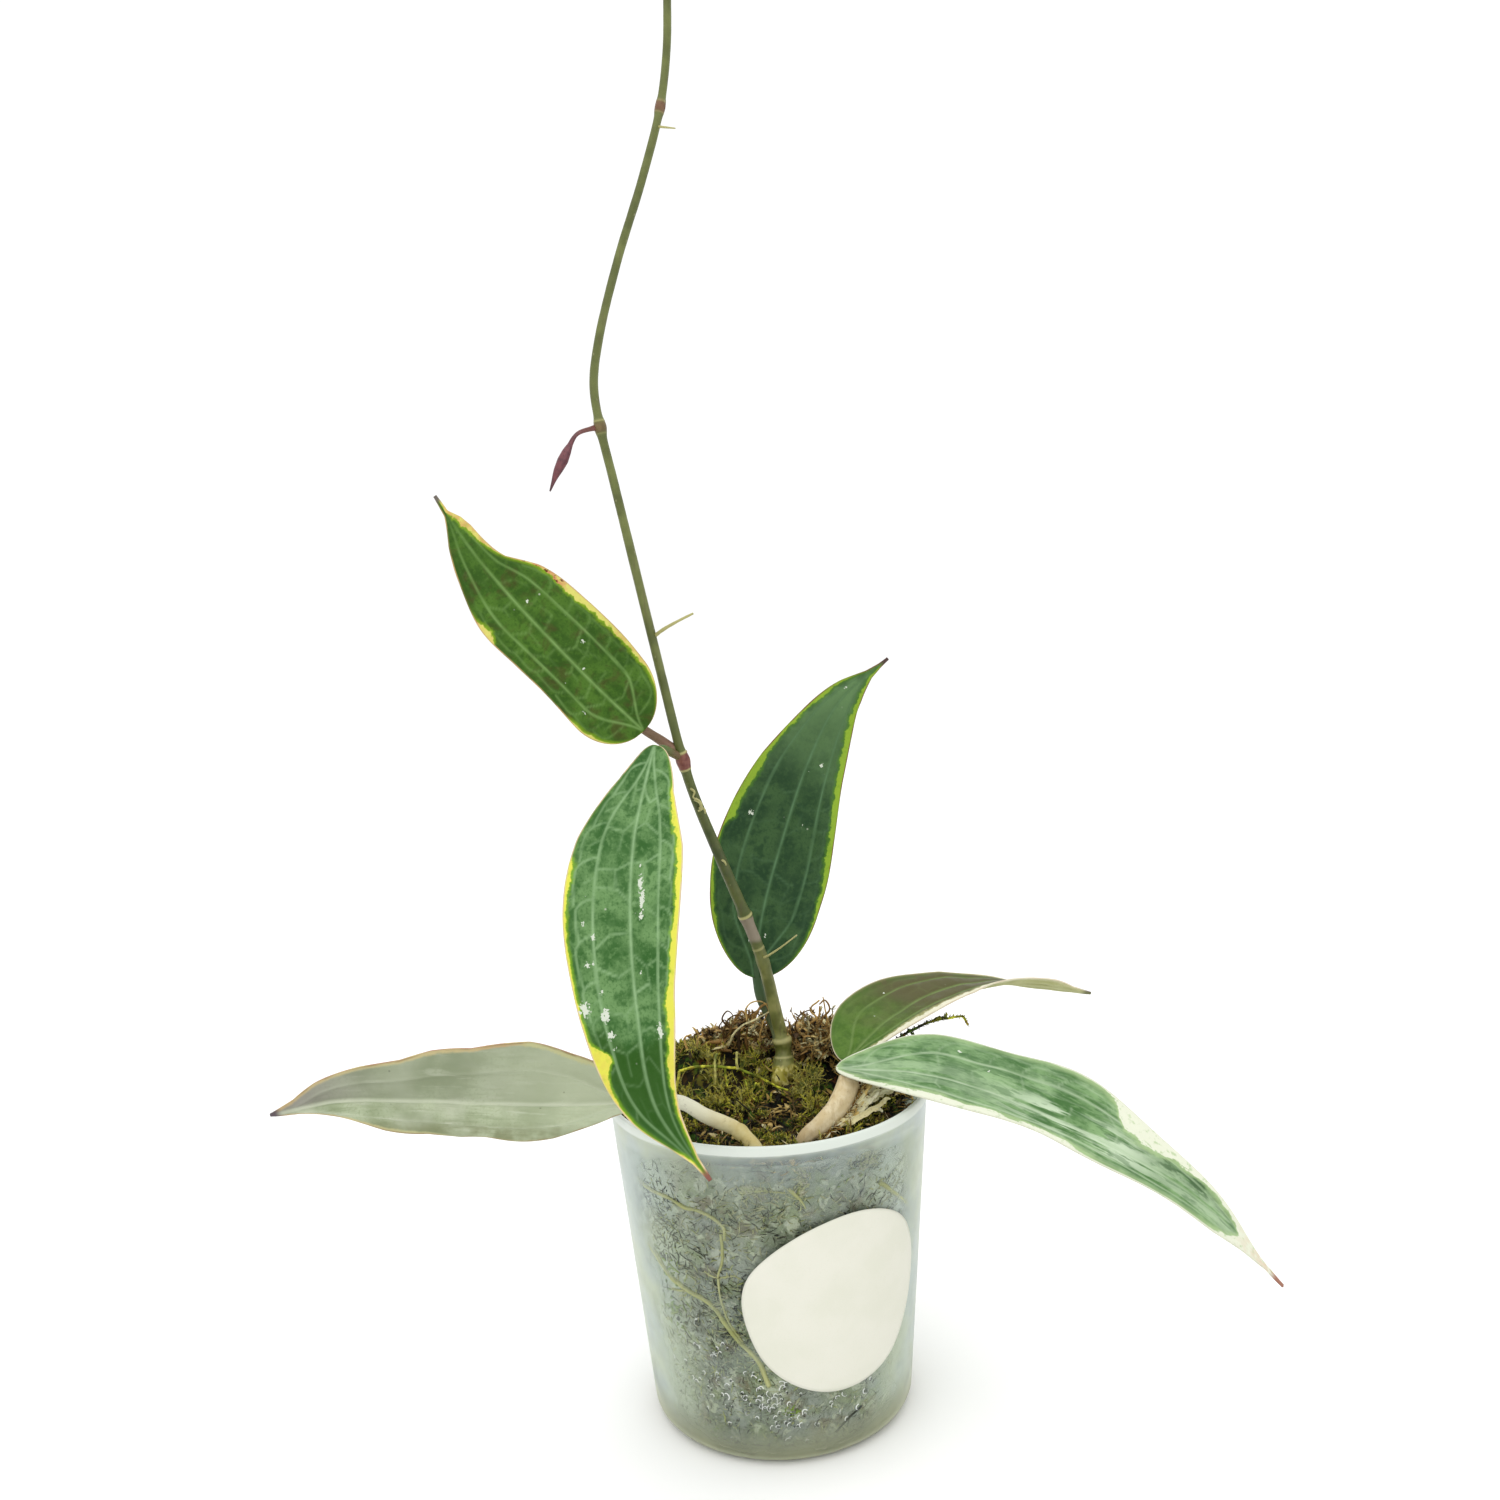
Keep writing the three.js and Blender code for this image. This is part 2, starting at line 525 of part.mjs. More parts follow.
// Leaf: a thin arched blade with a rib below and a stalk, all one body
function makeBlade({ midrib, plus, minus, faces, fold, shoulder, wave, waves }) {
  const curve = smoothCurve(midrib);
  const rise = Math.tan(degrees(fold));
  const halfWidth = (side, t) => {
    const round = Math.sqrt(Math.max(1 - (1 - Math.min(t / shoulder, 1)) ** 2, 0));
    return Math.max(atStation(side > 0 ? plus : minus, t) * round, 0.7);
  };
  const relief = (column) => {
    const from = Math.abs(column);
    return MIDRIB_DEPTH * Math.exp(-((from / 0.08) ** 2))
      + SIDE_VEIN_DEPTH * Math.exp(-(((from - SIDE_VEIN_AT) / 0.09) ** 2));
  };
  const upper = [];
  const lower = [];
  for (let row = 0; row <= LEAF_ROWS; row += 1) {
    const even = row / LEAF_ROWS;
    const t = 0.6 * even + 0.4 * even * even;
    const centre = curve.getPointAt(t);
    const along = curve.getTangentAt(t);
    const facing = new THREE.Vector3(...[0, 1, 2].map((k) => evenly(faces.map((f) => f[k]), t)));
    const normal = facing.addScaledVector(along, -facing.dot(along)).normalize();
    const across = along.clone().cross(normal);
    const calm = Math.sin(Math.PI * t);
    LEAF_COLUMNS.forEach((column) => {
      const side = column < 0 ? -1 : 1;
      const width = Math.abs(column) * halfWidth(side, t);
      const ripple = wave * calm * Math.abs(column) ** 3 * Math.sin(2 * Math.PI * waves * t + side * 1.1);
      const slim = Math.min(halfWidth(side, t) / 6, 1);
      const lift = width * rise + ripple - 0.4 * relief(column) * slim;
      const top = centre.clone()
        .addScaledVector(across, column * halfWidth(side, t))
        .addScaledVector(normal, lift);
      const body = LEAF_BODY_THICKNESS * (1 - column * column);
      const depth = LEAF_EDGE_THICKNESS + body + relief(column) * slim;
      upper.push(top.toArray());
      lower.push(top.clone().addScaledVector(normal, -depth).toArray());
    });
  }
  const wide = LEAF_COLUMNS.length;
  const below = upper.length;
  const triangles = [];
  const wall = (a, b) => triangles.push([a, b, below + b], [a, below + b, below + a]);
  for (let row = 0; row < LEAF_ROWS; row += 1) {
    for (let k = 0; k < wide - 1; k += 1) {
      const a = row * wide + k;
      const [b, c, d] = [a + 1, a + wide + 1, a + wide];
      triangles.push([a, c, b], [a, d, c]);
      triangles.push([below + a, below + b, below + c], [below + a, below + c, below + d]);
    }
    wall(row * wide + wide - 1, (row + 1) * wide + wide - 1);
    wall((row + 1) * wide, row * wide);
  }
  const top = LEAF_ROWS * wide;
  for (let k = 0; k < wide - 1; k += 1) {
    wall(k, k + 1);
    wall(top + k + 1, top + k);
  }
  return solidOf(outward(polyhedron([...upper, ...lower], triangles)));
}

function stalkOf({ stalk, stalkRadius }, grow = 0) {
  const taper = [1.15, 1, 0.95, 0.75];
  return solidOf(limb(stalk, (t) => stalkRadius * evenly(taper, t) + grow,
    { stations: evenStations(stalk.length * 3), sides: 7, face: [0.2, -0.85, 0.5] }));
}

// A fine twig with three sides
const twig = (course, thick, thin, steps) => solidOf(limb(
  course, (t) => THREE.MathUtils.lerp(thick, thin, t),
  { stations: evenStations(steps), sides: 3, face: [0.36, -0.8, 0.48] }));

// A spray of dead moss: crooked twigs with side twigs, all rooted in one short foot
function makeSpray({ foot, height, spread, twigs, seed }) {
  const next = draws(seed);
  const [x, y] = foot;
  const ground = mossHeight(x, y);
  const length = SPRAY_FOOT_DEPTH + SPRAY_FOOT_SHOWS;
  const base = new THREE.CylinderGeometry(SPRAY_FOOT_RADIUS, SPRAY_FOOT_TIP, length, 8);
  base.rotateX(Math.PI / 2);
  base.translate(x, y, ground + SPRAY_FOOT_SHOWS - length / 2);
  const parts = [solidOf(outward(base))];
  for (let i = 0; i < twigs; i += 1) {
    const turn = (2 * Math.PI * (i + 0.6 * next())) / twigs;
    const reach = spread * (0.45 + 0.55 * next());
    const rise = height * (0.45 + 0.55 * next());
    const [sx, sy] = [Math.cos(turn), Math.sin(turn)];
    const bend = 0.35 * (next() - 0.5);
    const tip = [x + reach * sx, y + reach * sy, ground + rise];
    const knee = [
      x + reach * (0.45 * sx + bend * sy), y + reach * (0.45 * sy - bend * sx), ground + 1.5 + 0.7 * rise,
    ];
    const hook = [tip[0] + 2 * sx * (next() - 0.2), tip[1] + 2 * sy * (next() - 0.2), tip[2] - 2.5 * next()];
    const course = [[x + sx, y + sy, ground - 0.5], knee, tip, hook];
    const curve = smoothCurve(course);
    parts.push(twig(course, TWIG_RADIUS, SIDE_TWIG_RADIUS, 4));
    SIDE_TWIGS_AT.forEach((at) => {
      const start = curve.getPointAt(at);
      const turned = turn + (at < 0.6 ? 1.1 : -1.2);
      const span = 2.4 + 2 * next();
      const end = start.clone().add(new THREE.Vector3(
        span * Math.cos(turned), span * Math.sin(turned), span * (next() - 0.25)));
      parts.push(twig([start.toArray(), end.toArray()], SIDE_TWIG_RADIUS, TWIG_TIP_RADIUS, 1));
    });
  }
  return join(parts);
}

function sprayHole({ foot }) {
  const [x, y] = foot;
  const radius = SPRAY_FOOT_RADIUS + 1.3 * GAP;
  const length = 3 * SPRAY_FOOT_DEPTH;
  const hole = new THREE.CylinderGeometry(radius, radius, length, 8);
  hole.rotateX(Math.PI / 2);
  hole.translate(x, y, mossHeight(x, y) - SPRAY_FOOT_DEPTH - GAP + length / 2);
  return solidOf(outward(hole));
}

// Live moss shoot creeping over the front of the moss, with upright tips
function makeRunner() {
  const over = (x, y, lift) => [x, y, mossHeight(x, y) + lift];
  const courses = [
    { course: [over(-27, 6, 2.2), over(-20, 9, 3.2), over(-11, 8, 3), over(-3, 7, 2.2)], from: 0.7, to: 0.6 },
    { course: [over(-4, 7, 2.2), over(-6, 2, 2.2), over(-4, -4, 2)], from: 0.6, to: 0.5 },
    { course: [over(-17.5, 8.5, 2.8), [-17.6, 8.4, 113], [-17, 8.2, 116.5]], from: 0.6, to: 0.5 },
    { course: [over(-9.5, 7.7, 2.6), [-9.3, 7.6, 112], [-9.4, 7.4, 114.5]], from: 0.6, to: 0.5 },
    { course: [over(-3.5, 7, 2.2), over(-3, 6.8, 0), over(-3, 6.6, -4)], from: 0.9, to: 0.8 },
  ];
  const shape = { stations: evenStations(5), sides: 4, face: [0.5, -0.6, 0.6] };
  return join(courses.map(({ course, from, to }) => solidOf(
    limb(course, (t) => THREE.MathUtils.lerp(from, to, t), shape))));
}

// Mossy strand that leans out over the rim behind, on the right
function makeStrand(grow = 0) {
  const used = grow > 0 ? STRAND_COURSES.slice(0, 1) : STRAND_COURSES;
  return join(used.map((course) => solidOf(limb(course, (t) => 0.9 - 0.3 * t + grow,
    { stations: evenStations(course.length + 2), sides: 4, face: [0.3, -0.9, 0.2] }))));
}

// Dry papery husk that has split away from the side stem
function makeHusk() {
  return join(HUSK_STRIPS.map(({ course, wide }) => solidOf(limb(course, (t) => wide * (1 - 0.45 * t),
    { stations: evenStations(4), sides: 4, face: [0.3, -0.8, 0.5], thin: 0.4 }))));
}

// Roots: a crown under the vine and branches that come out along the pot's wall
function rootCourse(wallPoints) {
  const at = (turn, z, share) => {
    const radius = share * (clear(z) - ROOT_PRESSED * ROOT_RADIUS);
    return [radius * Math.sin(degrees(turn)), -radius * Math.cos(degrees(turn)), z];
  };
  const [[turn, z], [nextTurn]] = wallPoints;
  const swing = nextTurn - turn;
  const approach = [at(turn - 1.2 * swing, 0.6 * z + 32, 0.6), at(turn - 0.5 * swing, 0.9 * z + 8, 0.9)];
  return [ROOT_START, ...approach, ...wallPoints.map(([a, h]) => at(a, h, 1))];
}

function makeRoots(grow = 0) {
  const crown = solidOf(limb(ROOT_CROWN, () => ROOT_CROWN_RADIUS + grow,
    { stations: evenStations(4), sides: 6, face: [1, 0, 0] }));
  const shape = { stations: evenStations(10), sides: 4, face: [0.05, 0.1, 1] };
  const branches = ROOT_COURSES.map((wallPoints) => solidOf(
    limb(rootCourse(wallPoints), (t) => ROOT_RADIUS * (1.1 - 0.35 * t) + 1.6 * grow, shape)));
  return join([crown, ...branches]);
}

// Young folded leaf on its own stalk
function makeYoungLeaf() {
  return solidOf(limb(YOUNG_COURSE, (t) => evenly(YOUNG_RADII, t),
    { stations: evenStations(14), sides: 7, face: [-0.3, -0.9, 0.1], thin: 0.7 }));
}

const part = new THREE.Group();
function add(name, shape, colour, roughness, options = {}) {
  const geometry = shape.isBufferGeometry ? shape : geometryOf(shape);
  geometry.computeVertexNormals();
  const material = new THREE.MeshStandardMaterial({ color: colour, roughness, metalness: 0, ...options });
  const mesh = new THREE.Mesh(geometry, material);
  mesh.name = name;
  part.add(mesh);
}

const vineRoom = makeVine(GAP);
const sideRoom = makeSideStem(GAP);
const stalkRoom = stalkOf(LEAVES.leaf_left, GAP);
const frontStalkRoom = stalkOf(LEAVES.leaf_right_front, GAP);
const strandRoom = makeStrand(GAP);
const rootRoom = makeRoots(GAP);
const runnerHole = solidOf(limb([[-3.2, 6.9, 112], [-3, 6.6, 98]], () => RUNNER_HOLE_RADIUS,
  { stations: [0, 1], sides: 6, face: [1, 0, 0] }));

add("pot", makePot(), 0xdfe6e2, 0.5, { transparent: true, opacity: 0.45 });
add("label", makeLabel(), 0xf3efe6, 0.6);

const floor = POT_FLOOR + GAP;
const turnIn = 0.3 * POT_CORNER;
const mixSide = [
  [clear(MIX_TOP / 3), MIX_TOP / 3], [clear(POT_CORNER + 1) - 0.2, POT_CORNER + 1],
  [clear(POT_CORNER) - turnIn, floor + turnIn], [POT_BASE_RADIUS - POT_CORNER, floor],
];
const mix = filling(floor, () => MIX_TOP, 32, [0.5, 1], mixSide);
add("potting_mix", cut(mix, [vineRoom, sideRoom, stalkRoom, strandRoom, rootRoom]), 0x4a3d2c, 1);

const matRings = evenStations(9).slice(1);
const mat = filling(MIX_TOP + GAP, mossHeight, 42, matRings, [[clear(MIX_TOP), MIX_TOP + GAP]]);
const sprayHoles = Object.values(SPRAYS).map(sprayHole);
const matHoles = [vineRoom, sideRoom, stalkRoom, strandRoom, runnerHole, ...sprayHoles];
add("moss_mat", cut(mat, matHoles), 0x6b6a26, 1);

add("roots", cut(makeRoots().intersect(mix), [vineRoom]), 0xc9c79a, 0.7);
add("vine", makeVine(), 0x737d4b, 0.6);
add("young_leaf", cut(makeYoungLeaf(), [vineRoom]), 0x5a2630, 0.5);
add("side_stem", makeSideStem(), 0xcdb793, 0.7);
add("dry_husk", cut(makeHusk(), [sideRoom]), 0xb98d55, 0.9);

const neighbours = { leaf_left: [], leaf_right_back: [sideRoom, frontStalkRoom] };
for (const [name, plan] of Object.entries(LEAVES)) {
  const whole = makeBlade(plan).add(stalkOf(plan));
  add(name, cut(whole, neighbours[name] ?? [vineRoom, sideRoom]), plan.colour, 0.45);
}
for (const [name, plan] of Object.entries(SPRAYS)) add(name, makeSpray(plan), 0x6b4a2e, 1);
add("moss_runner", makeRunner(), 0x9aa52f, 0.9);
add("moss_strand", makeStrand(), 0x7d8a55, 1);

export default part;
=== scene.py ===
"""Climbing hoya with pale-edged leaves in a frosted nursery pot. Working units are millimetres."""
import itertools
import math

import bpy
import numpy as np
from mathutils import Matrix, Vector


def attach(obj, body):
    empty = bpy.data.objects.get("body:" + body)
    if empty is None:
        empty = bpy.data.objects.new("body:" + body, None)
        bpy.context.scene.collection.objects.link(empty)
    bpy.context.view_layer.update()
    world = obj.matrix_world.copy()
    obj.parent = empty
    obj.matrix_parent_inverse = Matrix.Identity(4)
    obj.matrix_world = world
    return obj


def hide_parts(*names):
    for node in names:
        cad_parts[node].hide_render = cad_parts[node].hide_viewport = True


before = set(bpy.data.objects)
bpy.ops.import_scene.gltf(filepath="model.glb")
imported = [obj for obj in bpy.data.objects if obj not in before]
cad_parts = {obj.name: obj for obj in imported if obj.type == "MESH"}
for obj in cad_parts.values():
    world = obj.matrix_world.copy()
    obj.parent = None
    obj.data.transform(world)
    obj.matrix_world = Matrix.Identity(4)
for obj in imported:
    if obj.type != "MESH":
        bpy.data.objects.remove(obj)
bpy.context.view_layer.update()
scene = bpy.context.scene
MM = 0.001

# ---------------------------------------------------------------- camera


# Pinhole camera fitted to the photo: place in metres, tilt down and roll in degrees
CAMERA_PLACE, TILT_DOWN, ROLL = (0, -0.4732, 0.2954), 8.906, -3.071
LENS = 36  # millimetres, as wide as the sensor


def make_camera():
    tilt, roll = math.radians(TILT_DOWN), math.radians(ROLL)
    forward = Vector((0, math.cos(tilt), -math.sin(tilt)))
    level = Vector((1, 0, 0))
    upright = level.cross(forward)
    right = math.cos(roll) * level + math.sin(roll) * upright
    up = -math.sin(roll) * level + math.cos(roll) * upright
    data = bpy.data.cameras.new("camera")
    data.lens = LENS
    data.sensor_width = LENS
    data.clip_start = 0.01
    camera = bpy.data.objects.new("camera", data)
    turn = Matrix((right, up, -forward)).transposed()
    camera.matrix_world = Matrix.Translation(CAMERA_PLACE) @ turn.to_4x4()
    scene.collection.objects.link(camera)
    scene.camera = camera


make_camera()

# ---------------------------------------------------------------- number helpers


def draws(seed):
    return np.random.default_rng(seed)


def unit(a):
    a = np.asarray(a, float)
    return a / np.maximum(np.linalg.norm(a, axis=-1, keepdims=True), 1e-12)


def smooth(x, low=0.0, high=1.0):
    s = np.clip((np.asarray(x, float) - low) / (high - low), 0, 1)
    return s * s * (3 - 2 * s)


def noise(points, size, seed=0):
    """Smooth value noise from -1 to 1, with cells of the given size."""
    p = np.asarray(points, float) / size + 517.3
    cell = np.floor(p).astype(np.int64)
    f = p - cell
    f = f * f * (3 - 2 * f)
    total = 0
    for corner in itertools.product((0, 1), repeat=3):
        weight = np.prod(np.where(corner, f, 1 - f), axis=-1)
        x, y, z = np.moveaxis(cell + corner, -1, 0)
        n = (x * 374761393 + y * 668265263 + z * 1442695041 + seed * 974634777) & 0xFFFFFFFF
        n = ((n ^ (n >> 13)) * 1274126177) & 0xFFFFFFFF
        total = total + weight * ((n ^ (n >> 16)) & 0xFFFF) / 65535
    return 2 * total - 1


def fractal(points, size, seed):
    return sum(noise(points, size / 2**k, seed + k) / 2**k for k in range(3))


def jitter(points, size, seed):
    """Noise in each direction of space, for points that wander off a plain line."""
    return np.stack([noise(points, size, seed + k) for k in range(3)], 1)


def circle(sides):
    return 2 * np.pi * np.arange(sides) / sides


def bell(x, middle, reach, power=2):
    return np.exp(-(((x - middle) / reach) ** power))


def hills(x, y, rows):
    """The sum of round hills, each given by its middle, its spread and its height."""
    return sum(h * np.exp(-0.5 * ((x - a) ** 2 + (y - b) ** 2) / s**2) for a, b, s, h in rows)


def evenly(values, t):
    values = np.asarray(values, float)
    place = np.clip(t, 0, 1) * (len(values) - 1)
    knots = np.arange(len(values))
    if values.ndim == 1:
        return np.interp(place, knots, values)
    return np.stack([np.interp(place, knots, column) for column in values.T], axis=-1)


class Course:
    """A smooth centripetal curve through points, read by its share of the length."""

    def __init__(self, points, steps=60):
        p = np.asarray(points, float)
        q = np.vstack([2 * p[0] - p[1], p, 2 * p[-1] - p[-2]])
        made = []
        for i in range(1, len(q) - 2):
            a, b, c, d = q[i - 1:i + 3]
            ga, gb, gc = [max(np.linalg.norm(v), 1e-6) ** 0.5 for v in (b - a, c - b, d - c)]
            m1 = ((b - a) / ga - (c - a) / (ga + gb) + (c - b) / gb) * gb
            m2 = ((c - b) / gb - (d - b) / (gb + gc) + (d - c) / gc) * gb
            s = np.linspace(0, 1, steps, endpoint=False)[:, None]
            square, cube = 3 * c - 3 * b - 2 * m1 - m2, 2 * b - 2 * c + m1 + m2
            made.append(b + m1 * s + square * s**2 + cube * s**3)
        self.line = np.vstack([*made, p[-1:]])
        run = np.r_[0, np.cumsum(np.linalg.norm(np.diff(self.line, axis=0), axis=1))]
        self.length = run[-1]
        self.share = run / run[-1]

    def at(self, t):
        return np.stack([np.interp(t, self.share, k) for k in self.line.T], axis=-1)

    def along(self, t):
        step = 0.004
        return unit(self.at(np.clip(t + step, 0, 1)) - self.at(np.clip(t - step, 0, 1)))


# ---------------------------------------------------------------- mesh helpers


class Batch:
    """Collects the points, faces and point values of one piece.

    With inside set, the piece is held within the pot's wall.
    """

    def __init__(self, inside=False):
        self.points, self.faces, self.values, self.count = [], {3: [], 4: []}, {}, 0
        self.inside = inside

    def add(self, points, *faces, **values):
        points = np.asarray(points, float).reshape(-1, 3)
        for block in faces:
            block = np.asarray(block, np.int64)
            self.faces[block.shape[1]].append(block + self.count)
        for name in set(values) | set(self.values):
            rows = self.values.setdefault(name, [np.zeros(self.count)] if self.count else [])
            rows.append(np.broadcast_to(np.asarray(values.get(name, 0.0), float), (len(points),)))
        self.points.append(points)
        self.count += len(points)

    def mesh(self, name):
        points = np.vstack(self.points)
        if self.inside:
            far = np.hypot(points[:, 0], points[:, 1])
            room = wall_radius(points[:, 2]) - WALL - WALL_ROOM
            room = np.where(points[:, 2] < POT_HEIGHT + 1, room, 1e3)
            points[:, :2] *= np.minimum(room / np.maximum(far, 1e-6), 1)[:, None]
        points = points * MM
        blocks = [np.vstack(self.faces[k]) for k in (4, 3) if self.faces[k]]
        sizes = np.concatenate([np.full(len(b), b.shape[1]) for b in blocks])
        mesh = bpy.data.meshes.new(name)
        mesh.vertices.add(len(points))
        mesh.vertices.foreach_set("co", points.astype(np.float32).ravel())
        mesh.loops.add(int(sizes.sum()))
        mesh.loops.foreach_set("vertex_index",
                               np.concatenate([b.ravel() for b in blocks]).astype(np.int32))
        mesh.polygons.add(len(sizes))
        mesh.polygons.foreach_set("loop_start", np.r_[0, np.cumsum(sizes)[:-1]].astype(np.int32))
        mesh.polygons.foreach_set("use_smooth", np.full(len(sizes), True))
        for key, rows in self.values.items():
            data = mesh.attributes.new(key, "FLOAT", "POINT").data
            data.foreach_set("value", np.concatenate(rows).astype(np.float32))
        mesh.update(calc_edges=True)
        mesh.validate()
        return mesh

    def build(self, name, material, node):
        mesh = self.mesh(name)
        mesh.materials.append(material)
        piece = bpy.data.objects.new(name, mesh)
        scene.collection.objects.link(piece)
        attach(piece, "root")
        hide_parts(node)
        return piece


def grid_faces(rows, columns, closed=False):
    """Quads between rows of points; closed joins each row's last point to its first."""
    last = columns if closed else columns - 1
    r, c = np.meshgrid(np.arange(rows - 1), np.arange(last), indexing="ij")
    r, c = r.ravel(), c.ravel()
    right = (c + 1) % columns
    return np.stack([r * columns + c, r * columns + right, (r + 1) * columns + right,
                     (r + 1) * columns + c], 1)


def body(batch, skin, ends, flip=False, **values):
    """A closed body: rings of points and one point that closes each end."""
    rows, sides = skin.shape[:2]
    first, last = np.arange(sides), (rows - 1) * sides
    after = (first + 1) % sides
    faces = [grid_faces(rows, sides, closed=True),
             np.stack([np.full(sides, rows * sides), after, first], 1),
             np.stack([np.full(sides, rows * sides + 1), last + first, last + after], 1)]
    if flip:
        faces = [block[:, ::-1] for block in faces]
    batch.add(np.vstack([skin.reshape(-1, 3), ends]), *faces, **values)


def sheet(batch, top, under, **values):
    """A closed sheet between two grids of points, with its count of faces on one side."""
    rows, columns = top.shape[:2]
    count = rows * columns
    quads = grid_faces(rows, columns)
    rim = np.r_[np.arange(columns), (np.arange(1, rows) + 1) * columns - 1,
                count - 2 - np.arange(columns - 1), np.arange(rows - 2, 0, -1) * columns]
    after = np.roll(rim, -1)
    wall = np.stack([rim, rim + count, after + count, after], 1)
    batch.add(np.vstack([top.reshape(-1, 3), under.reshape(-1, 3)]),
              quads, quads[:, ::-1] + count, wall,
              **{key: np.tile(np.broadcast_to(value, count), 2) for key, value in values.items()})
    return len(quads)


def ridged(depth, ridges, finer):
    """A tube's section with shallow ridges and finer ones between them."""
    return lambda turn: 1 + depth * np.cos(ridges * turn) + 0.02 * np.cos(finer * turn + 1)


def carried_frames(points):
    """Two directions across a line of points, carried along it without twist."""
    tangents = unit(np.gradient(points, axis=0))
    first = np.cross(tangents[0], (0.31, -0.83, 0.47))
    sides = [unit(first)]
    for tangent in tangents[1:]:
        sides.append(unit(sides[-1] - np.dot(sides[-1], tangent) * tangent))
    sides = np.array(sides)
    return sides, np.cross(tangents, sides)


def tube(batch, points, radii, sides=8, thin=1.0, face=None, section=None, **values):
    """A closed tube round a line of points, flattened by thin towards face."""
    points = np.asarray(points, float)
    n = len(points)
    if face is None:
        across, out = carried_frames(points)
    else:
        tangents = unit(np.gradient(points, axis=0))
        across = unit(np.cross(tangents, face))
        out = np.cross(across, tangents)
    turn = circle(sides)
    shape = 1 if section is None else section(turn)
    radii = np.broadcast_to(np.asarray(radii, float), (n,))[:, None, None]
    ring = across[:, None] * (np.cos(turn) * shape)[None, :, None]
    ring = ring + out[:, None] * (np.sin(turn) * shape * thin)[None, :, None]
    skin = points[:, None] + radii * ring
    spread = {}
    for key, value in values.items():
        value = np.broadcast_to(np.asarray(value, float), (n,))
        spread[key] = np.r_[np.repeat(value, sides), value[0], value[-1]]
    body(batch, skin, points[[0, -1]], flip=face is not None, **spread)


def lathe(batch, profile, sides, wobble=None):
    """A closed turned body from pairs of radius and height that start and end on the axis."""
    profile = np.asarray(profile, float)
    turn = circle(sides)
    ring = np.stack([np.cos(turn), np.sin(turn)], 1)
    inner = profile[1:-1]
    skin = np.empty((len(inner), sides, 3))
    skin[..., :2] = inner[:, None, :1] * ring[None]
    skin[..., 2] = inner[:, 1:2]
    if wobble is not None:
        skin = wobble(skin)
    body(batch, skin, [[0, 0, profile[0, 1]], [0, 0, profile[-1, 1]]])


# ---------------------------------------------------------------- material helpers


LEVEL = 0.72  # share of a colour's brightness that the studio light then makes up


def rgb(*levels):
    """Linear colour with alpha from screen levels between 0 and 255."""
    c = np.asarray(levels, float) / 255
    linear = LEVEL * np.where(c <= 0.04045, c / 12.92, ((c + 0.055) / 1.055) ** 2.4)
    return (*linear.tolist(), 1.0)


SOCKETS = {"rough": "Roughness", "shine": "Specular IOR Level"}


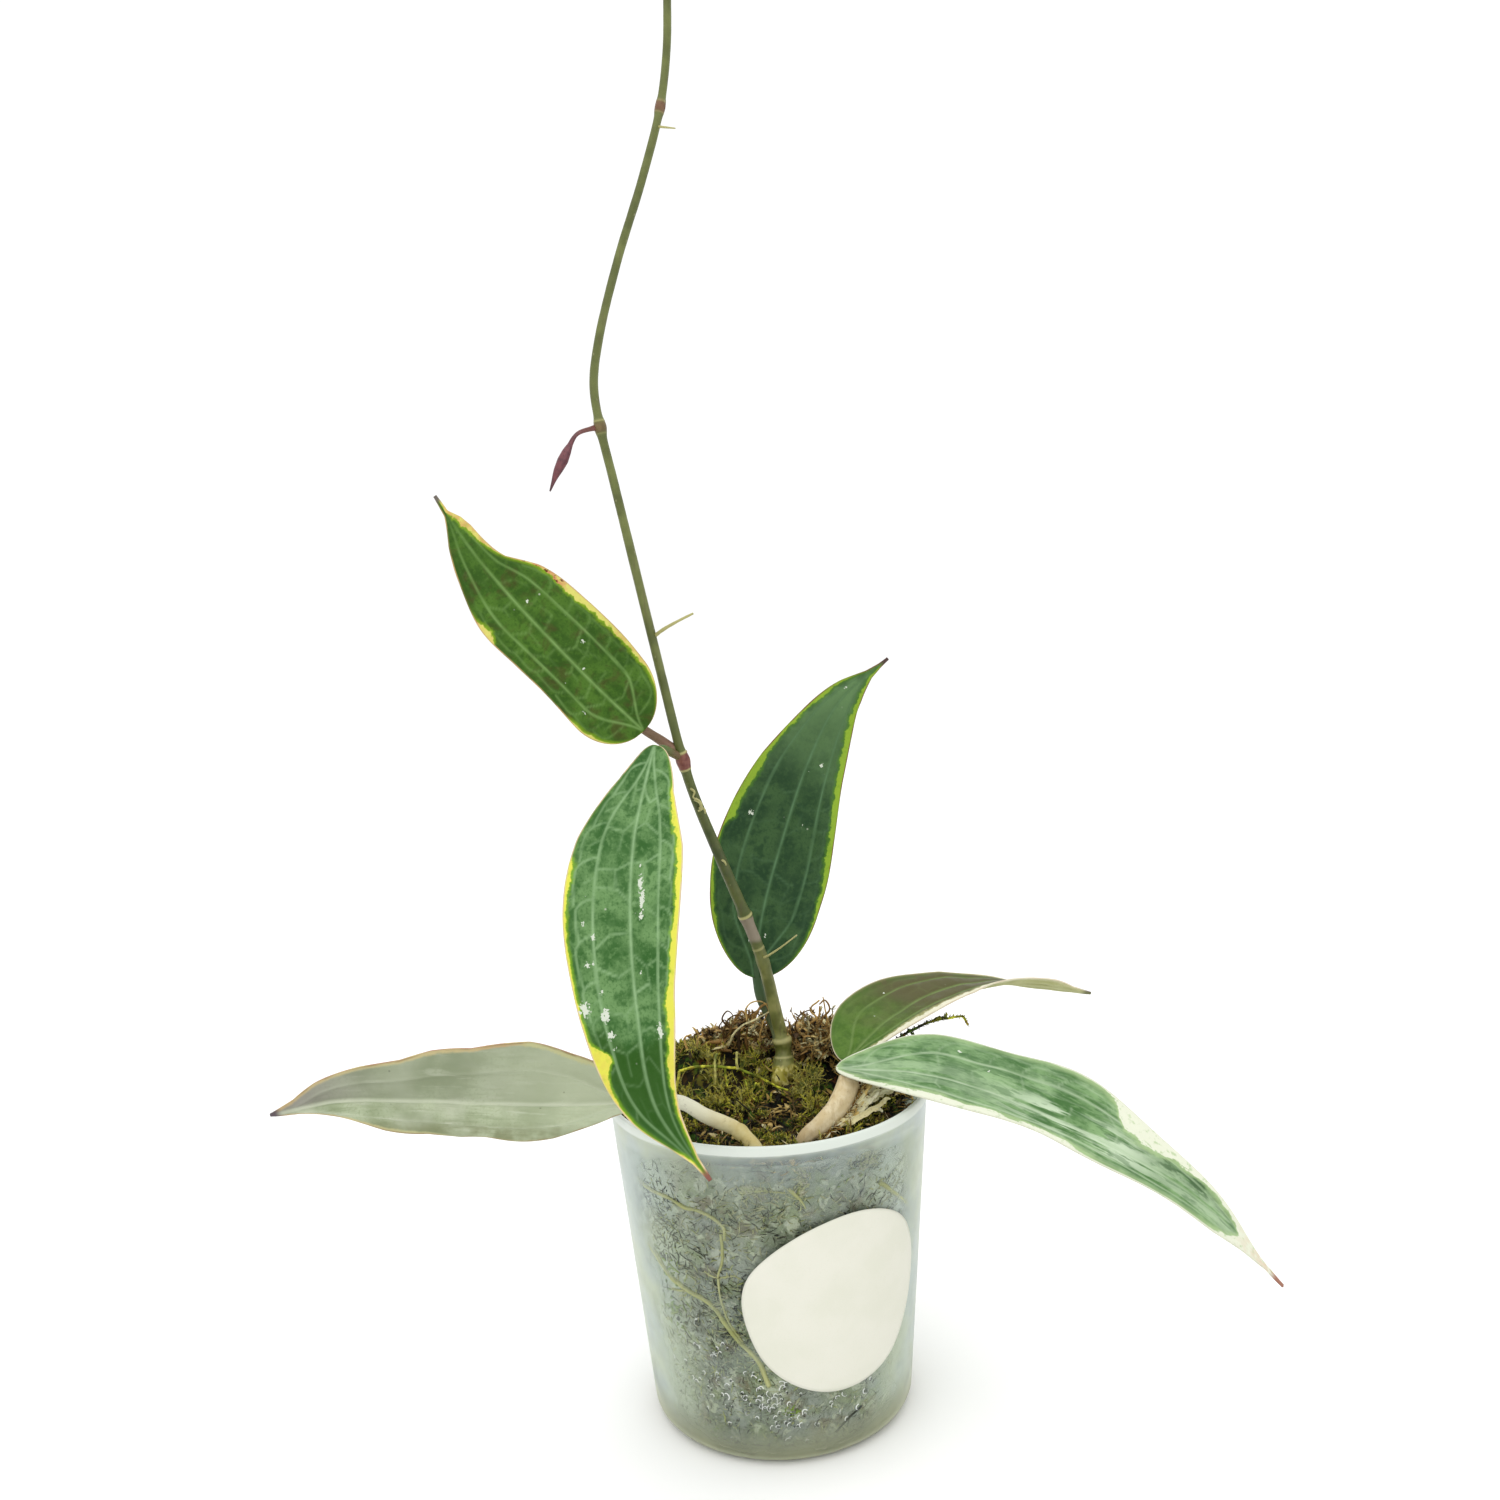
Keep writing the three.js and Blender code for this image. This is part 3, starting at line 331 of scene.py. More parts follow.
class Paint:
    """A Principled material with short calls for the nodes that feed it.

    A colour with three numbers is given in screen levels, one with four is linear.
    """

    def __init__(self, name, rough=0.5, shine=0.5, **sockets):
        self.material = bpy.data.materials.new(name)
        self.material.use_nodes = True
        self.tree = self.material.node_tree
        self.shader = self.tree.nodes["Principled BSDF"]
        self.place = self.tree.nodes.new("ShaderNodeTexCoord").outputs["Object"]
        self.set(rough=rough, shine=shine, **sockets)

    def set(self, **sockets):
        for key, value in sockets.items():
            name = SOCKETS.get(key, key.replace("_", " "))
            self.feed(self.shader.inputs[name], value)

    def feed(self, socket, value):
        if isinstance(value, bpy.types.NodeSocket):
            self.tree.links.new(value, socket)
        else:
            levels = socket.type == "RGBA" and len(value) == 3
            socket.default_value = rgb(*value) if levels else value

    def node(self, kind, inputs=(), output=0, **settings):
        made = self.tree.nodes.new("ShaderNode" + kind)
        for key, value in settings.items():
            setattr(made, key, value)
        for key, value in dict(inputs).items():
            self.feed(made.inputs[key], value)
        return made.outputs[output]

    def maths(self, operation, a, b=0.0, clamp=False):
        return self.node("Math", {0: a, 1: b}, operation=operation, use_clamp=clamp)

    def times(self, a, b):
        return self.maths("MULTIPLY", a, b)

    def step(self, value, low, high, to_low=0.0, to_high=1.0):
        inputs = {"Value": value, "From Min": low, "From Max": high, "To Min": to_low,
                  "To Max": to_high}
        return self.node("MapRange", inputs, interpolation_type="SMOOTHSTEP")

    def blend(self, share, a, b):
        return self.node("Mix", {0: share, 6: a, 7: b}, output=2, data_type="RGBA")

    def cover(self, base, colour, low, high, size, detail, share=1, **where):
        """Lays a colour over base where noise of this size rises from low to high."""
        shown = self.step(self.noise(size, detail, **where), low, high, 0, share)
        return self.blend(shown, base, colour)

    def shift(self, stretch=(1, 1, 1), move=(0, 0, 0)):
        return self.node("Mapping", {"Vector": self.place, "Scale": stretch, "Location": move})

    def noise(self, size, detail, stretch=(1, 1, 1), move=(0, 0, 0), twist=0.0):
        inputs = {"Vector": self.shift(stretch, move), "Scale": 1 / (size * MM), "Detail": detail,
                  "Roughness": 0.55, "Distortion": twist}
        return self.node("TexNoise", inputs)

    def cells(self, size, stretch=(1, 1, 1), move=(0, 0, 0)):
        """Distance from the middle of the nearest of many random cells."""
        inputs = {"Vector": self.shift(stretch, move), "Scale": 1 / (size * MM)}
        return self.node("TexVoronoi", inputs, output="Distance")

    def value(self, name):
        return self.node("Attribute", output="Fac", attribute_name=name)

    def height(self):
        return self.node("SeparateXYZ", {0: self.place}, output="Z")

    def coat(self, base, size, detail, depth, strength, stretch=(1, 1, 1), **sockets):
        """Sets the colour and a fine relief of noise, and gives the material."""
        relief = {"Height": self.noise(size, detail, stretch=stretch),
                  "Distance": depth * MM, "Strength": strength}
        self.set(Base_Color=base, Normal=self.node("Bump", relief), **sockets)
        return self.material

    def ramp(self, value, stops):
        made = self.tree.nodes.new("ShaderNodeValToRGB")
        ramp = made.color_ramp
        while len(ramp.elements) < len(stops):
            ramp.elements.new(0.5)
        for element, (place, colour) in zip(ramp.elements, stops):
            element.position = place
            element.color = rgb(*colour)
        self.feed(made.inputs[0], value)
        return made.outputs[0]


# ---------------------------------------------------------------- leaves

LEAF_STATIONS = np.array([0, 0.15, 0.3, 0.45, 0.6, 0.75, 0.88, 1])


def at_station(values, t):
    """Smooth half width between the leaf stations."""
    values = np.asarray(values, float)
    k = np.arange(len(values))
    a, b = np.maximum(k - 1, 0), np.minimum(k + 1, len(values) - 1)
    slope = (values[b] - values[a]) / (LEAF_STATIONS[b] - LEAF_STATIONS[a])
    i = np.clip(np.searchsorted(LEAF_STATIONS, t, side="left") - 1, 0, len(values) - 2)
    span = LEAF_STATIONS[i + 1] - LEAF_STATIONS[i]
    s = (t - LEAF_STATIONS[i]) / span
    return (values[i] * (1 + 2 * s) * (1 - s) ** 2 + values[i + 1] * s * s * (3 - 2 * s)
            + slope[i] * span * s * (1 - s) ** 2 - slope[i + 1] * span * s * s * (1 - s))


LEAVES = {
    "leaf_upper_left": dict(
        midrib=[[-33, -6, 230], [-45, -12, 244], [-57, -17, 259], [-69, -19, 274], [-81, -17, 290],
                [-91, -13, 306]],
        plus=[14, 16, 17.3, 16.5, 14, 6.5, 3, 0.5],
        minus=[14, 13.5, 12.7, 12.8, 13.2, 8.5, 3.5, 0.5], faces=[[-0.1, -0.96, 0.2]] * 3, fold=10,
        shoulder=0.18, wave=1.2, waves=3,
        stalk=[[-21.4, -0.6, 220.6], [-27, -2.4, 225.4], [-31, -3.6, 228.6]], stalk_radius=1.6,
        joins=0.015,
        band_plus=[0, 0.2, 0.1, 0.5, 0.2, 1.3, 0.36, 1.5, 0.45, 1.9, 0.5, 1.9, 0.54, 1.6, 0.6, 1.0,
                   0.63, 0.6, 0.72, 0.4, 0.78, 0.8, 0.84, 1.6, 0.9, 1.6, 0.94, 0.8, 1, 0.3],
        band_minus=[0, 0.2, 0.05, 0.5, 0.12, 0.9, 0.2, 0.5, 0.24, 0.1, 0.53, 0.1, 0.55, 1.2, 0.57,
                    2.2, 0.6, 1.4, 0.62, 0.4, 0.66, 0.2, 1, 0.1],
        warm_plus=[0.15, 0, 0.2, 0.4, 0.3, 0.4, 0.34, 0, 0.5, 0, 0.54, 1, 0.64, 1, 0.7, 0.5, 0.8,
                   0.6, 0.94, 0.6, 1, 0],
        warm_minus=[0.25, 0, 0.28, 0.5, 0.32, 0.2, 0.6, 0.2, 0.62, 1, 0.66, 1, 0.7, 0.2],
        more_plus=[0.62, 0, 0.71, -1.3, 0.78, -0.2, 0.86, 0.8, 0.9, 0.6, 0.94, -0.9, 0.97, -0.4, 1,
                   0],
        more_minus=[0.84, 0, 0.93, -1.1, 1, 0],
        chalk=[(0.564, 3.0, 0.7, 0.5), (0.361, 6.9, 0.8, 0.6), (0.293, 1.2, 0.5, 0.4),
               (0.461, 8.5, 0.3, 0.3), (0.14, 2.8, 0.4, 0.3), (0.19, -8.4, 0.4, 0.4),
               (0.3, -6, 0.3, 0.3)],
        cross=0.5, seed=3,
    ),
    "leaf_hanging": dict(
        midrib=[[-29.6, -12, 226.4], [-36, -30, 203], [-38, -44, 180], [-37, -53, 154],
                [-33, -59, 127], [-18, -66, 107]],
        plus=[9, 14, 18.3, 19.3, 16.8, 11.7, 4.8, 0.5],
        minus=[14, 15, 16.4, 15.6, 12.1, 9.3, 5.5, 0.5], faces=[[-0.2, -0.93, 0.28]] * 3, fold=12,
        shoulder=0.26, wave=1, waves=3,
        stalk=[[-21, -0.4, 219.6], [-24.2, -4.2, 222], [-28, -9, 224.4]], stalk_radius=1.3,
        joins=0.03,
        band_plus=[0, 0.2, 0.28, 0.3, 0.3, 1.6, 0.36, 1.3, 0.45, 0.9, 0.55, 0.8, 0.66, 0.7, 0.675,
                   2.0, 0.69, 4.8, 0.708, 4.4, 0.73, 1.9, 0.76, 1.0, 0.82, 0.5, 0.9, 0.3, 0.94, 0.8,
                   1, 0.3],
        band_minus=[0, 0.2, 0.1, 0.5, 0.15, 1.6, 0.22, 2.0, 0.3, 1.6, 0.42, 1.7, 0.47, 2.2, 0.55,
                    1.9, 0.6, 3.0, 0.63, 2.0, 0.74, 2.2, 0.79, 1.0, 0.86, 0.8, 0.93, 0.5, 1, 0.4],
        warm_plus=[0.6, 0, 0.8, 0.3, 1, 0.6], warm_minus=[0.6, 0, 0.8, 0.3, 1, 0.6],
        more_plus=[0, 0, 0.05, -1.2, 0.1, -1.8, 0.18, -1, 0.24, 0, 0.82, 0, 0.9, -1.0, 0.95, -1.2,
                   1, 0],
        more_minus=[0, 0, 0.05, -1.4, 0.12, -2.2, 0.2, -1, 0.26, 0, 0.82, 0, 0.9, -0.8, 0.95, -1.2,
                    1, 0],
        chalk=[(0.338, -3.3, 2.6, 0.8), (0.375, -4.0, 3.4, 0.9), (0.41, -3.5, 1.8, 0.7),
               (0.449, 10.9, 1.1, 0.7), (0.504, 12.8, 0.9, 0.7), (0.421, 13.6, 0.7, 0.5),
               (0.591, 14.8, 2.2, 1.7), (0.609, 9.1, 2.0, 1.6), (0.652, 8.2, 1.4, 1.3),
               (0.654, -6.5, 2.6, 0.9), (0.5, 11.2, 0.6, 0.4), (0.368, 13.4, 0.5, 0.4),
               (0.56, 9.4, 0.7, 0.6), (0.68, 7.6, 0.6, 0.5), (0.3, -3.0, 0.7, 0.3),
               (0.53, -2.4, 0.5, 0.4)],
        cross=0.85, seed=8,
    ),
    "leaf_upright": dict(
        midrib=[[-3, 22, 139], [2, 29, 162], [10, 35, 185], [19, 38, 208], [31, 37, 230],
                [48, 31, 245]],
        plus=[17, 18, 19, 16.6, 13.7, 9.8, 4.8, 0.5],
        minus=[14, 18, 21.8, 20.8, 16.4, 9.3, 4.1, 0.5], faces=[[0.05, -0.98, 0.1]] * 3, fold=10,
        shoulder=0.2, wave=1, waves=2.5,
        stalk=[[5.2, 17.0, 118], [2.6, 19.4, 125], [-0.6, 21.4, 132]], stalk_radius=1.9, joins=0.05,
        band_plus=[0, 0.3, 0.1, 0.5, 0.2, 1.0, 0.3, 1.6, 0.34, 2.3, 0.42, 1.8, 0.5, 2.0, 0.6, 2.2,
                   0.7, 2.5, 0.78, 2.0, 0.87, 1.6, 0.93, 0.8, 1, 0.3],
        band_minus=[0, 0.4, 0.1, 0.8, 0.16, 1.6, 0.24, 1.3, 0.3, 0.7, 0.38, 0.8, 0.42, 3.0, 0.5,
                    2.2, 0.53, 3.2, 0.58, 2.2, 0.66, 1.4, 0.76, 1.0, 0.8, 1.8, 0.84, 0.9, 0.9, 0.5,
                    1, 0.3],
        more_plus=[0.86, 0, 0.93, -1.3, 0.97, -0.8, 1, 0],
        more_minus=[0.86, 0, 0.93, -0.9, 0.97, -0.6, 1, 0],
        chalk=[(0.441, -13.3, 1.1, 0.9), (0.627, 4.6, 0.9, 0.6), (0.446, 5.3, 0.4, 0.4),
               (0.857, -1.5, 0.5, 0.4), (0.6, 1.5, 0.3, 0.3), (0.12, 2, 0.8, 0.4),
               (0.1, -3, 0.6, 0.4)],
        cross=0.4, seed=14,
    ),
    "leaf_left": dict(
        midrib=[[-40, -31, 119], [-63, -33, 120], [-86, -36, 123], [-109, -36, 125],
                [-133, -33, 125], [-155, -28, 119]],
        plus=[8, 11, 15.3, 14.8, 13.6, 10.1, 4.6, 0.5], minus=[12, 15, 19, 17.9, 13.6, 9.6, 5, 0.5],
        faces=[[0, 0.97, 0.2]] * 3, fold=8, shoulder=0.16, wave=1, waves=2.5,
        stalk=[[-3.8, -40.2, 96], [-4.8, -40, 104.2], [-7.6, -38, 107.4], [-11, -35.4, 109.5],
               [-14, -34.4, 110.8], [-20, -33, 113.3], [-27.4, -31.5, 117]],
        stalk_radius=2.3, joins=0.03,
        band_plus=[0, 0.2, 0.5, 0.3, 0.6, 0.9, 0.75, 1.0, 0.85, 0.7, 1, 0.4],
        band_minus=[0, 1.2, 0.1, 1.6, 0.3, 1.4, 0.34, 0.7, 0.4, 1.0, 0.55, 0.9, 0.7, 0.7, 0.85, 0.8,
                    1, 0.4],
        warm_plus=[0.6, 0, 0.8, 0.3, 1, 0.8],
        warm_minus=[0.3, 0, 0.36, 0.8, 0.45, 0.4, 0.7, 0.2, 1, 0.6],
        more_plus=[0, 0, 0.07, -1.2, 0.14, -0.6, 0.22, 0.6, 0.4, -0.2, 0.47, 0.5, 0.56, -0.7, 0.68,
                   0.3, 0.78, 0, 0.84, 0, 0.92, -0.8, 1, 0],
        more_minus=[0, 0, 0.12, -0.6, 0.2, 0.2, 0.3, 0.9, 0.37, 0.2, 0.44, -0.9, 0.54, -0.2, 0.62,
                    -0.9, 0.72, 0, 0.84, 0, 0.92, -0.8, 1, 0],
        chalk=[], cross=0.12, seed=21,
    ),
    "leaf_right_front": dict(
        midrib=[[22, -16, 120], [52, -25, 119], [80, -35, 111], [108, -44, 98], [133, -49, 80],
                [153, -50, 56]],
        plus=[9, 11, 12, 9, 9.5, 9, 5.5, 0.5], minus=[12, 17, 19, 20, 16, 9, 3, 0.5],
        faces=[[0.1, -0.3, 0.95], [0.35, -0.5, 0.8], [0.5, -0.45, 0.75]], fold=6, shoulder=0.2,
        wave=1, waves=3, stalk=[[27, -17.6, 114.0], [27, -17.4, 116.4]], stalk_radius=1.8,
        joins=0.03,
        band_plus=[0, 1.6, 0.1, 2.1, 0.22, 2.8, 0.32, 2.4, 0.42, 1.8, 0.5, 0.8, 0.56, 0.4, 0.78,
                   0.5, 0.84, 1.6, 0.87, 6, 1, 8],
        band_minus=[0, 0.5, 0.3, 0.4, 0.52, 0.6, 0.55, 2.0, 0.58, 9.0, 0.64, 8.0, 0.69, 4.0, 0.74,
                    1.6, 0.8, 0.9, 0.85, 1.3, 0.88, 6, 1, 8],
        warm_plus=[0.84, 0, 0.95, 0.4, 1, 1], warm_minus=[0.84, 0, 0.95, 0.4, 1, 1],
        more_plus=[0.8, 0, 0.88, -1.6, 0.95, -1.6, 1, 0], more_minus=[0.86, 0, 0.93, -0.6, 1, 0],
        chalk=[(0.233, -12.5, 0.9, 0.5), (0.3, -8, 0.5, 0.4), (0.45, -3, 0.4, 0.4)], cross=0.4,
        seed=34,
    ),
    "leaf_right_back": dict(
        midrib=[[25.4, -4, 117], [40.7, 13, 124], [59, 28.5, 128], [78, 42, 127], [98.7, 53, 122],
                [121, 61, 114]],
        plus=[6, 8, 9, 9, 7.5, 5.5, 3.5, 0.5], minus=[13, 16.5, 16, 11.5, 7, 5.5, 3.5, 0.5],
        faces=[[-0.3, -0.5, 0.8], [-0.2, -0.44, 0.87], [-0.1, -0.35, 0.93], [-0.05, 0.4, 0.78],
               [0, 0.85, 0.5]],
        fold=8, shoulder=0.2, wave=0.8, waves=2,
        stalk=[[26.6, -17.6, 114.0], [27, -12, 116], [26.4, -8, 116.4]], stalk_radius=1.6,
        joins=0.04, band_plus=[0, 0.5, 0.1, 1.4, 0.3, 1.8, 0.6, 1.6, 0.7, 0.8, 0.9, 0.5, 1, 0.3],
        band_minus=[0, 0.2, 0.3, 0.3, 0.6, 0.5, 0.7, 0.9, 0.9, 0.6, 1, 0.3],
        warm_plus=[0.6, 0, 1, 0.1], warm_minus=[0.6, 0, 1, 0.1],
        more_plus=[0.86, 0, 0.93, -0.8, 1, 0], more_minus=[0.86, 0, 0.93, -0.8, 1, 0],
        chalk=[(0.288, -10.0, 0.6, 0.4), (0.2, -4, 0.4, 0.3)], cross=0.25, seed=47,
    ),
}


def lateral_at(t):
    """Share of the half width at which the side ribs run."""
    return 0.57 * smooth(t, -0.05, 0.2) * (1 - 0.4 * smooth(t, 0.78, 0.97))


def vein_lines(plan, half, length):
    """The veins of one leaf as lines in run and offset, each with its width and strength."""
    r = draws(plan["seed"])
    t = np.linspace(0, 0.985, 160)
    lines = [(t, 0 * t, 0.46, 1.0)]
    for side in (1, -1):
        wander = side * lateral_at(t) * (1 + 0.03 * np.sin(9 * t + r.uniform(0, 6)))
        keep = t < 0.93
        lines.append((t[keep], wander[keep], 0.38, 0.84))
        # cross veins in kinked steps between the midrib and the side rib
        place = r.uniform(0.07, 0.11)
        while place < 0.86:
            slant = r.normal(0.012, 0.02)
            knee = r.uniform(0.3, 0.65)
            drop = r.choice((-1, 1)) * r.uniform(0.012, 0.03)
            reach = 1.0 if r.random() < 0.8 else r.uniform(0.45, 0.8)
            s = np.linspace(0, reach, 14)
            line_t = place + np.interp(s, [0, knee, 1], [0, slant * knee + drop, slant])
            strength = plan["cross"] * r.uniform(0.4, 1) * (1 - 0.7 * smooth(place, 0.55, 0.75))
            lines.append((line_t, side * s * lateral_at(line_t), 0.36, strength))
            if r.random() < 0.7:
                spur = np.linspace(0, r.uniform(0.025, 0.055), 8)
                start = place + slant * knee + drop
                inner = knee * lateral_at(start)
                lines.append((start + np.sign(drop) * spur,
                              side * (inner + r.uniform(-2, 2) * spur), 0.36, 0.6 * strength))
            place += r.uniform(0.06, 0.11)
        # loops from the side rib towards the margin, each bent forward onto the next
        place, outer = r.uniform(0.04, 0.07), 0.86
        while place < 0.84:
            stride = r.uniform(0.06, 0.1)
            s = np.linspace(0, 1, 18)
            peak = outer * r.uniform(0.94, 1.04)
            line_t = place + stride * (0.25 * s + 0.75 * s**2) * 1.15
            inner = lateral_at(line_t)
            bow = np.sin(np.pi * 0.5 * np.minimum(s * 1.7, 1))
            arc = inner + (peak - inner) * bow * (1 - 0.16 * s**3)
            strength = plan["cross"] * r.uniform(0.4, 0.9) * (1 - 0.7 * smooth(place, 0.5, 0.7))
            lines.append((line_t, side * arc, 0.36, strength))
            if r.random() < 0.6:
                half_way = place + 0.5 * stride
                s = np.linspace(0, r.uniform(0.4, 0.8), 8)
                inner = lateral_at(half_way)
                lines.append((half_way + 0.02 * s, side * (inner + (0.8 - inner) * s), 0.36,
                              0.4 * plan["cross"]))
            place += stride
    return [(np.stack([lt * length, lv * half(np.sign(lv + 1e-9), np.clip(lt, 0, 1))], 1), w, k)
            for lt, lv, w, k in lines]


def distance_to_line(points, line):
    best = np.full(len(points), 1e9)
    for a, b in zip(line[:-1], line[1:]):
        d = b - a
        s = np.clip(((points - a) @ d) / max(d @ d, 1e-9), 0, 1)
        best = np.minimum(best, np.linalg.norm(points - a - s[:, None] * d, axis=1))
    return best


def listed(pairs, t):
    """A value along the leaf from a flat list of run and value pairs."""
    return np.interp(t, pairs[::2], pairs[1::2])


ROW_STEP, COLUMNS = 0.62, 65  # spacing of a blade's rows and its points across
EDGE_DEPTH, MIDDLE_DEPTH = 0.5, 0.3  # thickness of a blade at its edge and what its middle adds


def make_leaf(name, plan, upper, lower):
    course = Course(plan["midrib"])
    rows = int(course.length / ROW_STEP)
    even = np.linspace(0, 1, rows)
    t = even - 0.03 * np.sin(2 * np.pi * even)
    v = np.linspace(-1, 1, COLUMNS)

    def half(side, at):
        widths = np.where(side > 0, at_station(plan["plus"], at), at_station(plan["minus"], at))
        round_ = np.sqrt(np.maximum(1 - (1 - np.minimum(at / plan["shoulder"], 1)) ** 2, 0))
        more = np.where(side > 0, listed(plan["more_plus"], at), listed(plan["more_minus"], at))
        return np.maximum(widths * round_ + more, 0.55)

    tt, vv = np.meshgrid(t, v, indexing="ij")
    side = np.where(vv < 0, -1, 1)
    width = half(side, tt)
    offset = vv * width
    centre, along = course.at(t), course.along(t)
    facing = evenly(plan["faces"], t)
    normal = unit(facing - np.sum(facing * along, axis=1, keepdims=True) * along)
    across = np.cross(along, normal)
    flat = np.stack([tt.ravel() * course.length, offset.ravel()], 1)
    edge = ((1 - np.abs(vv)) * width).ravel()
    edge = np.minimum(edge, np.minimum(flat[:, 0], (1 - tt.ravel()) * course.length) + 0.4)

    vein = np.zeros(len(flat))
    ribs = np.zeros(len(flat))
    for line, wide, strength in vein_lines(plan, half, course.length):
        near = ((flat[:, 0] > line[:, 0].min() - 3) & (flat[:, 0] < line[:, 0].max() + 3)
                & (flat[:, 1] > line[:, 1].min() - 3) & (flat[:, 1] < line[:, 1].max() + 3))
        d = distance_to_line(flat[near], line)
        vein[near] = np.maximum(vein[near], strength * bell(d, 0, wide))
        if strength > 0.8:
            ribs[near] = np.maximum(ribs[near], bell(d, 0, 1.1))
    fade = smooth(edge, 0.2, 1.6)
    vein *= fade * (1 - 0.7 * smooth(flat[:, 0] / course.length, 0.78, 0.95))
    chalk = np.zeros(len(flat))
    for at, aside, long, wide in plan["chalk"]:
        far = np.hypot((flat[:, 0] - at * course.length) / long, (flat[:, 1] - aside) / wide)
        chalk = np.maximum(chalk, np.clip(1.3 - far, 0, 1))
    slim = np.minimum(width / 6, 1).ravel()
    calm = np.sin(np.pi * tt).ravel()
    rise = math.tan(math.radians(plan["fold"]))
    breadth = np.abs(offset).ravel()
    fold = rise * (np.sqrt(breadth**2 + 2.2) - 1.48)
    ripple = plan["wave"] * calm * np.abs(vv.ravel()) ** 3 * np.sin(
        2 * np.pi * plan["waves"] * tt.ravel() + side.ravel() * 1.1)
    place = np.column_stack([flat, np.full(len(flat), 7.0 * plan["seed"])])
    quilt = 0.32 * noise(place, 9, 1) + 0.12 * noise(place, 4.2, 2)
    lift = fold + ripple + slim * (quilt * fade - 0.3 * ribs - 0.1 * vein)
    lift = lift.reshape(rows, COLUMNS)
    top = centre[:, None] + across[:, None] * offset[..., None] + normal[:, None] * lift[..., None]
    raised = (0.75 * ribs * slim + 0.12 * vein * slim).reshape(rows, COLUMNS)
    depth = EDGE_DEPTH + MIDDLE_DEPTH * (1 - vv**2) + raised
    under = top - normal[:, None] * depth[..., None]

    band = np.where(vv < 0, listed(plan["band_minus"], tt), listed(plan["band_plus"], tt)).ravel()
    warm = np.zeros(len(flat))
    if "warm_plus" in plan:
        warm = np.where(vv < 0, listed(plan["warm_minus"], tt),
                        listed(plan["warm_plus"], tt)).ravel()
    batch = Batch()
    faces = sheet(batch, top, under, vein=vein, edge=edge, band=band, run=tt.ravel(), warm=warm,
                  chalk=chalk, way=flat[:, 0] * MM, aside=flat[:, 1] * MM)
    piece = batch.build(name + "_blade", upper, name)
    piece.data.materials.append(lower)
    marks = np.zeros(len(piece.data.polygons), np.int32)
    marks[faces:2 * faces] = 1
    piece.data.polygons.foreach_set("material_index", marks)


class LeafPaint(Paint):
    """A paint whose textures run along the leaf and across it."""

    def __init__(self, name):
        super().__init__(name)
        self.place = self.node("CombineXYZ", {0: self.value("way"), 1: self.value("aside"), 2: 0.0})


def ragged_margin(p, scale=1.0, grain=(1, 1, 1)):
    """How many millimetres a point lies inside the pale margin, and where the margin shows."""
    edge, wide = p.value("edge"), p.value("band")
    coarse = p.noise(3.2, 3, stretch=grain)
    uneven = p.maths("ADD", p.times(p.maths("SUBTRACT", coarse, 0.5), 3.0 * scale),
                     p.times(p.maths("SUBTRACT", p.noise(0.9, 2), 0.5), 1.0))
    uneven = p.times(uneven, p.step(wide, 0.3, 1.5, 0.1, 1))
    margin = p.maths("ADD", p.maths("SUBTRACT", wide, edge), uneven)
    return margin, p.step(wide, 0.12, 0.6)


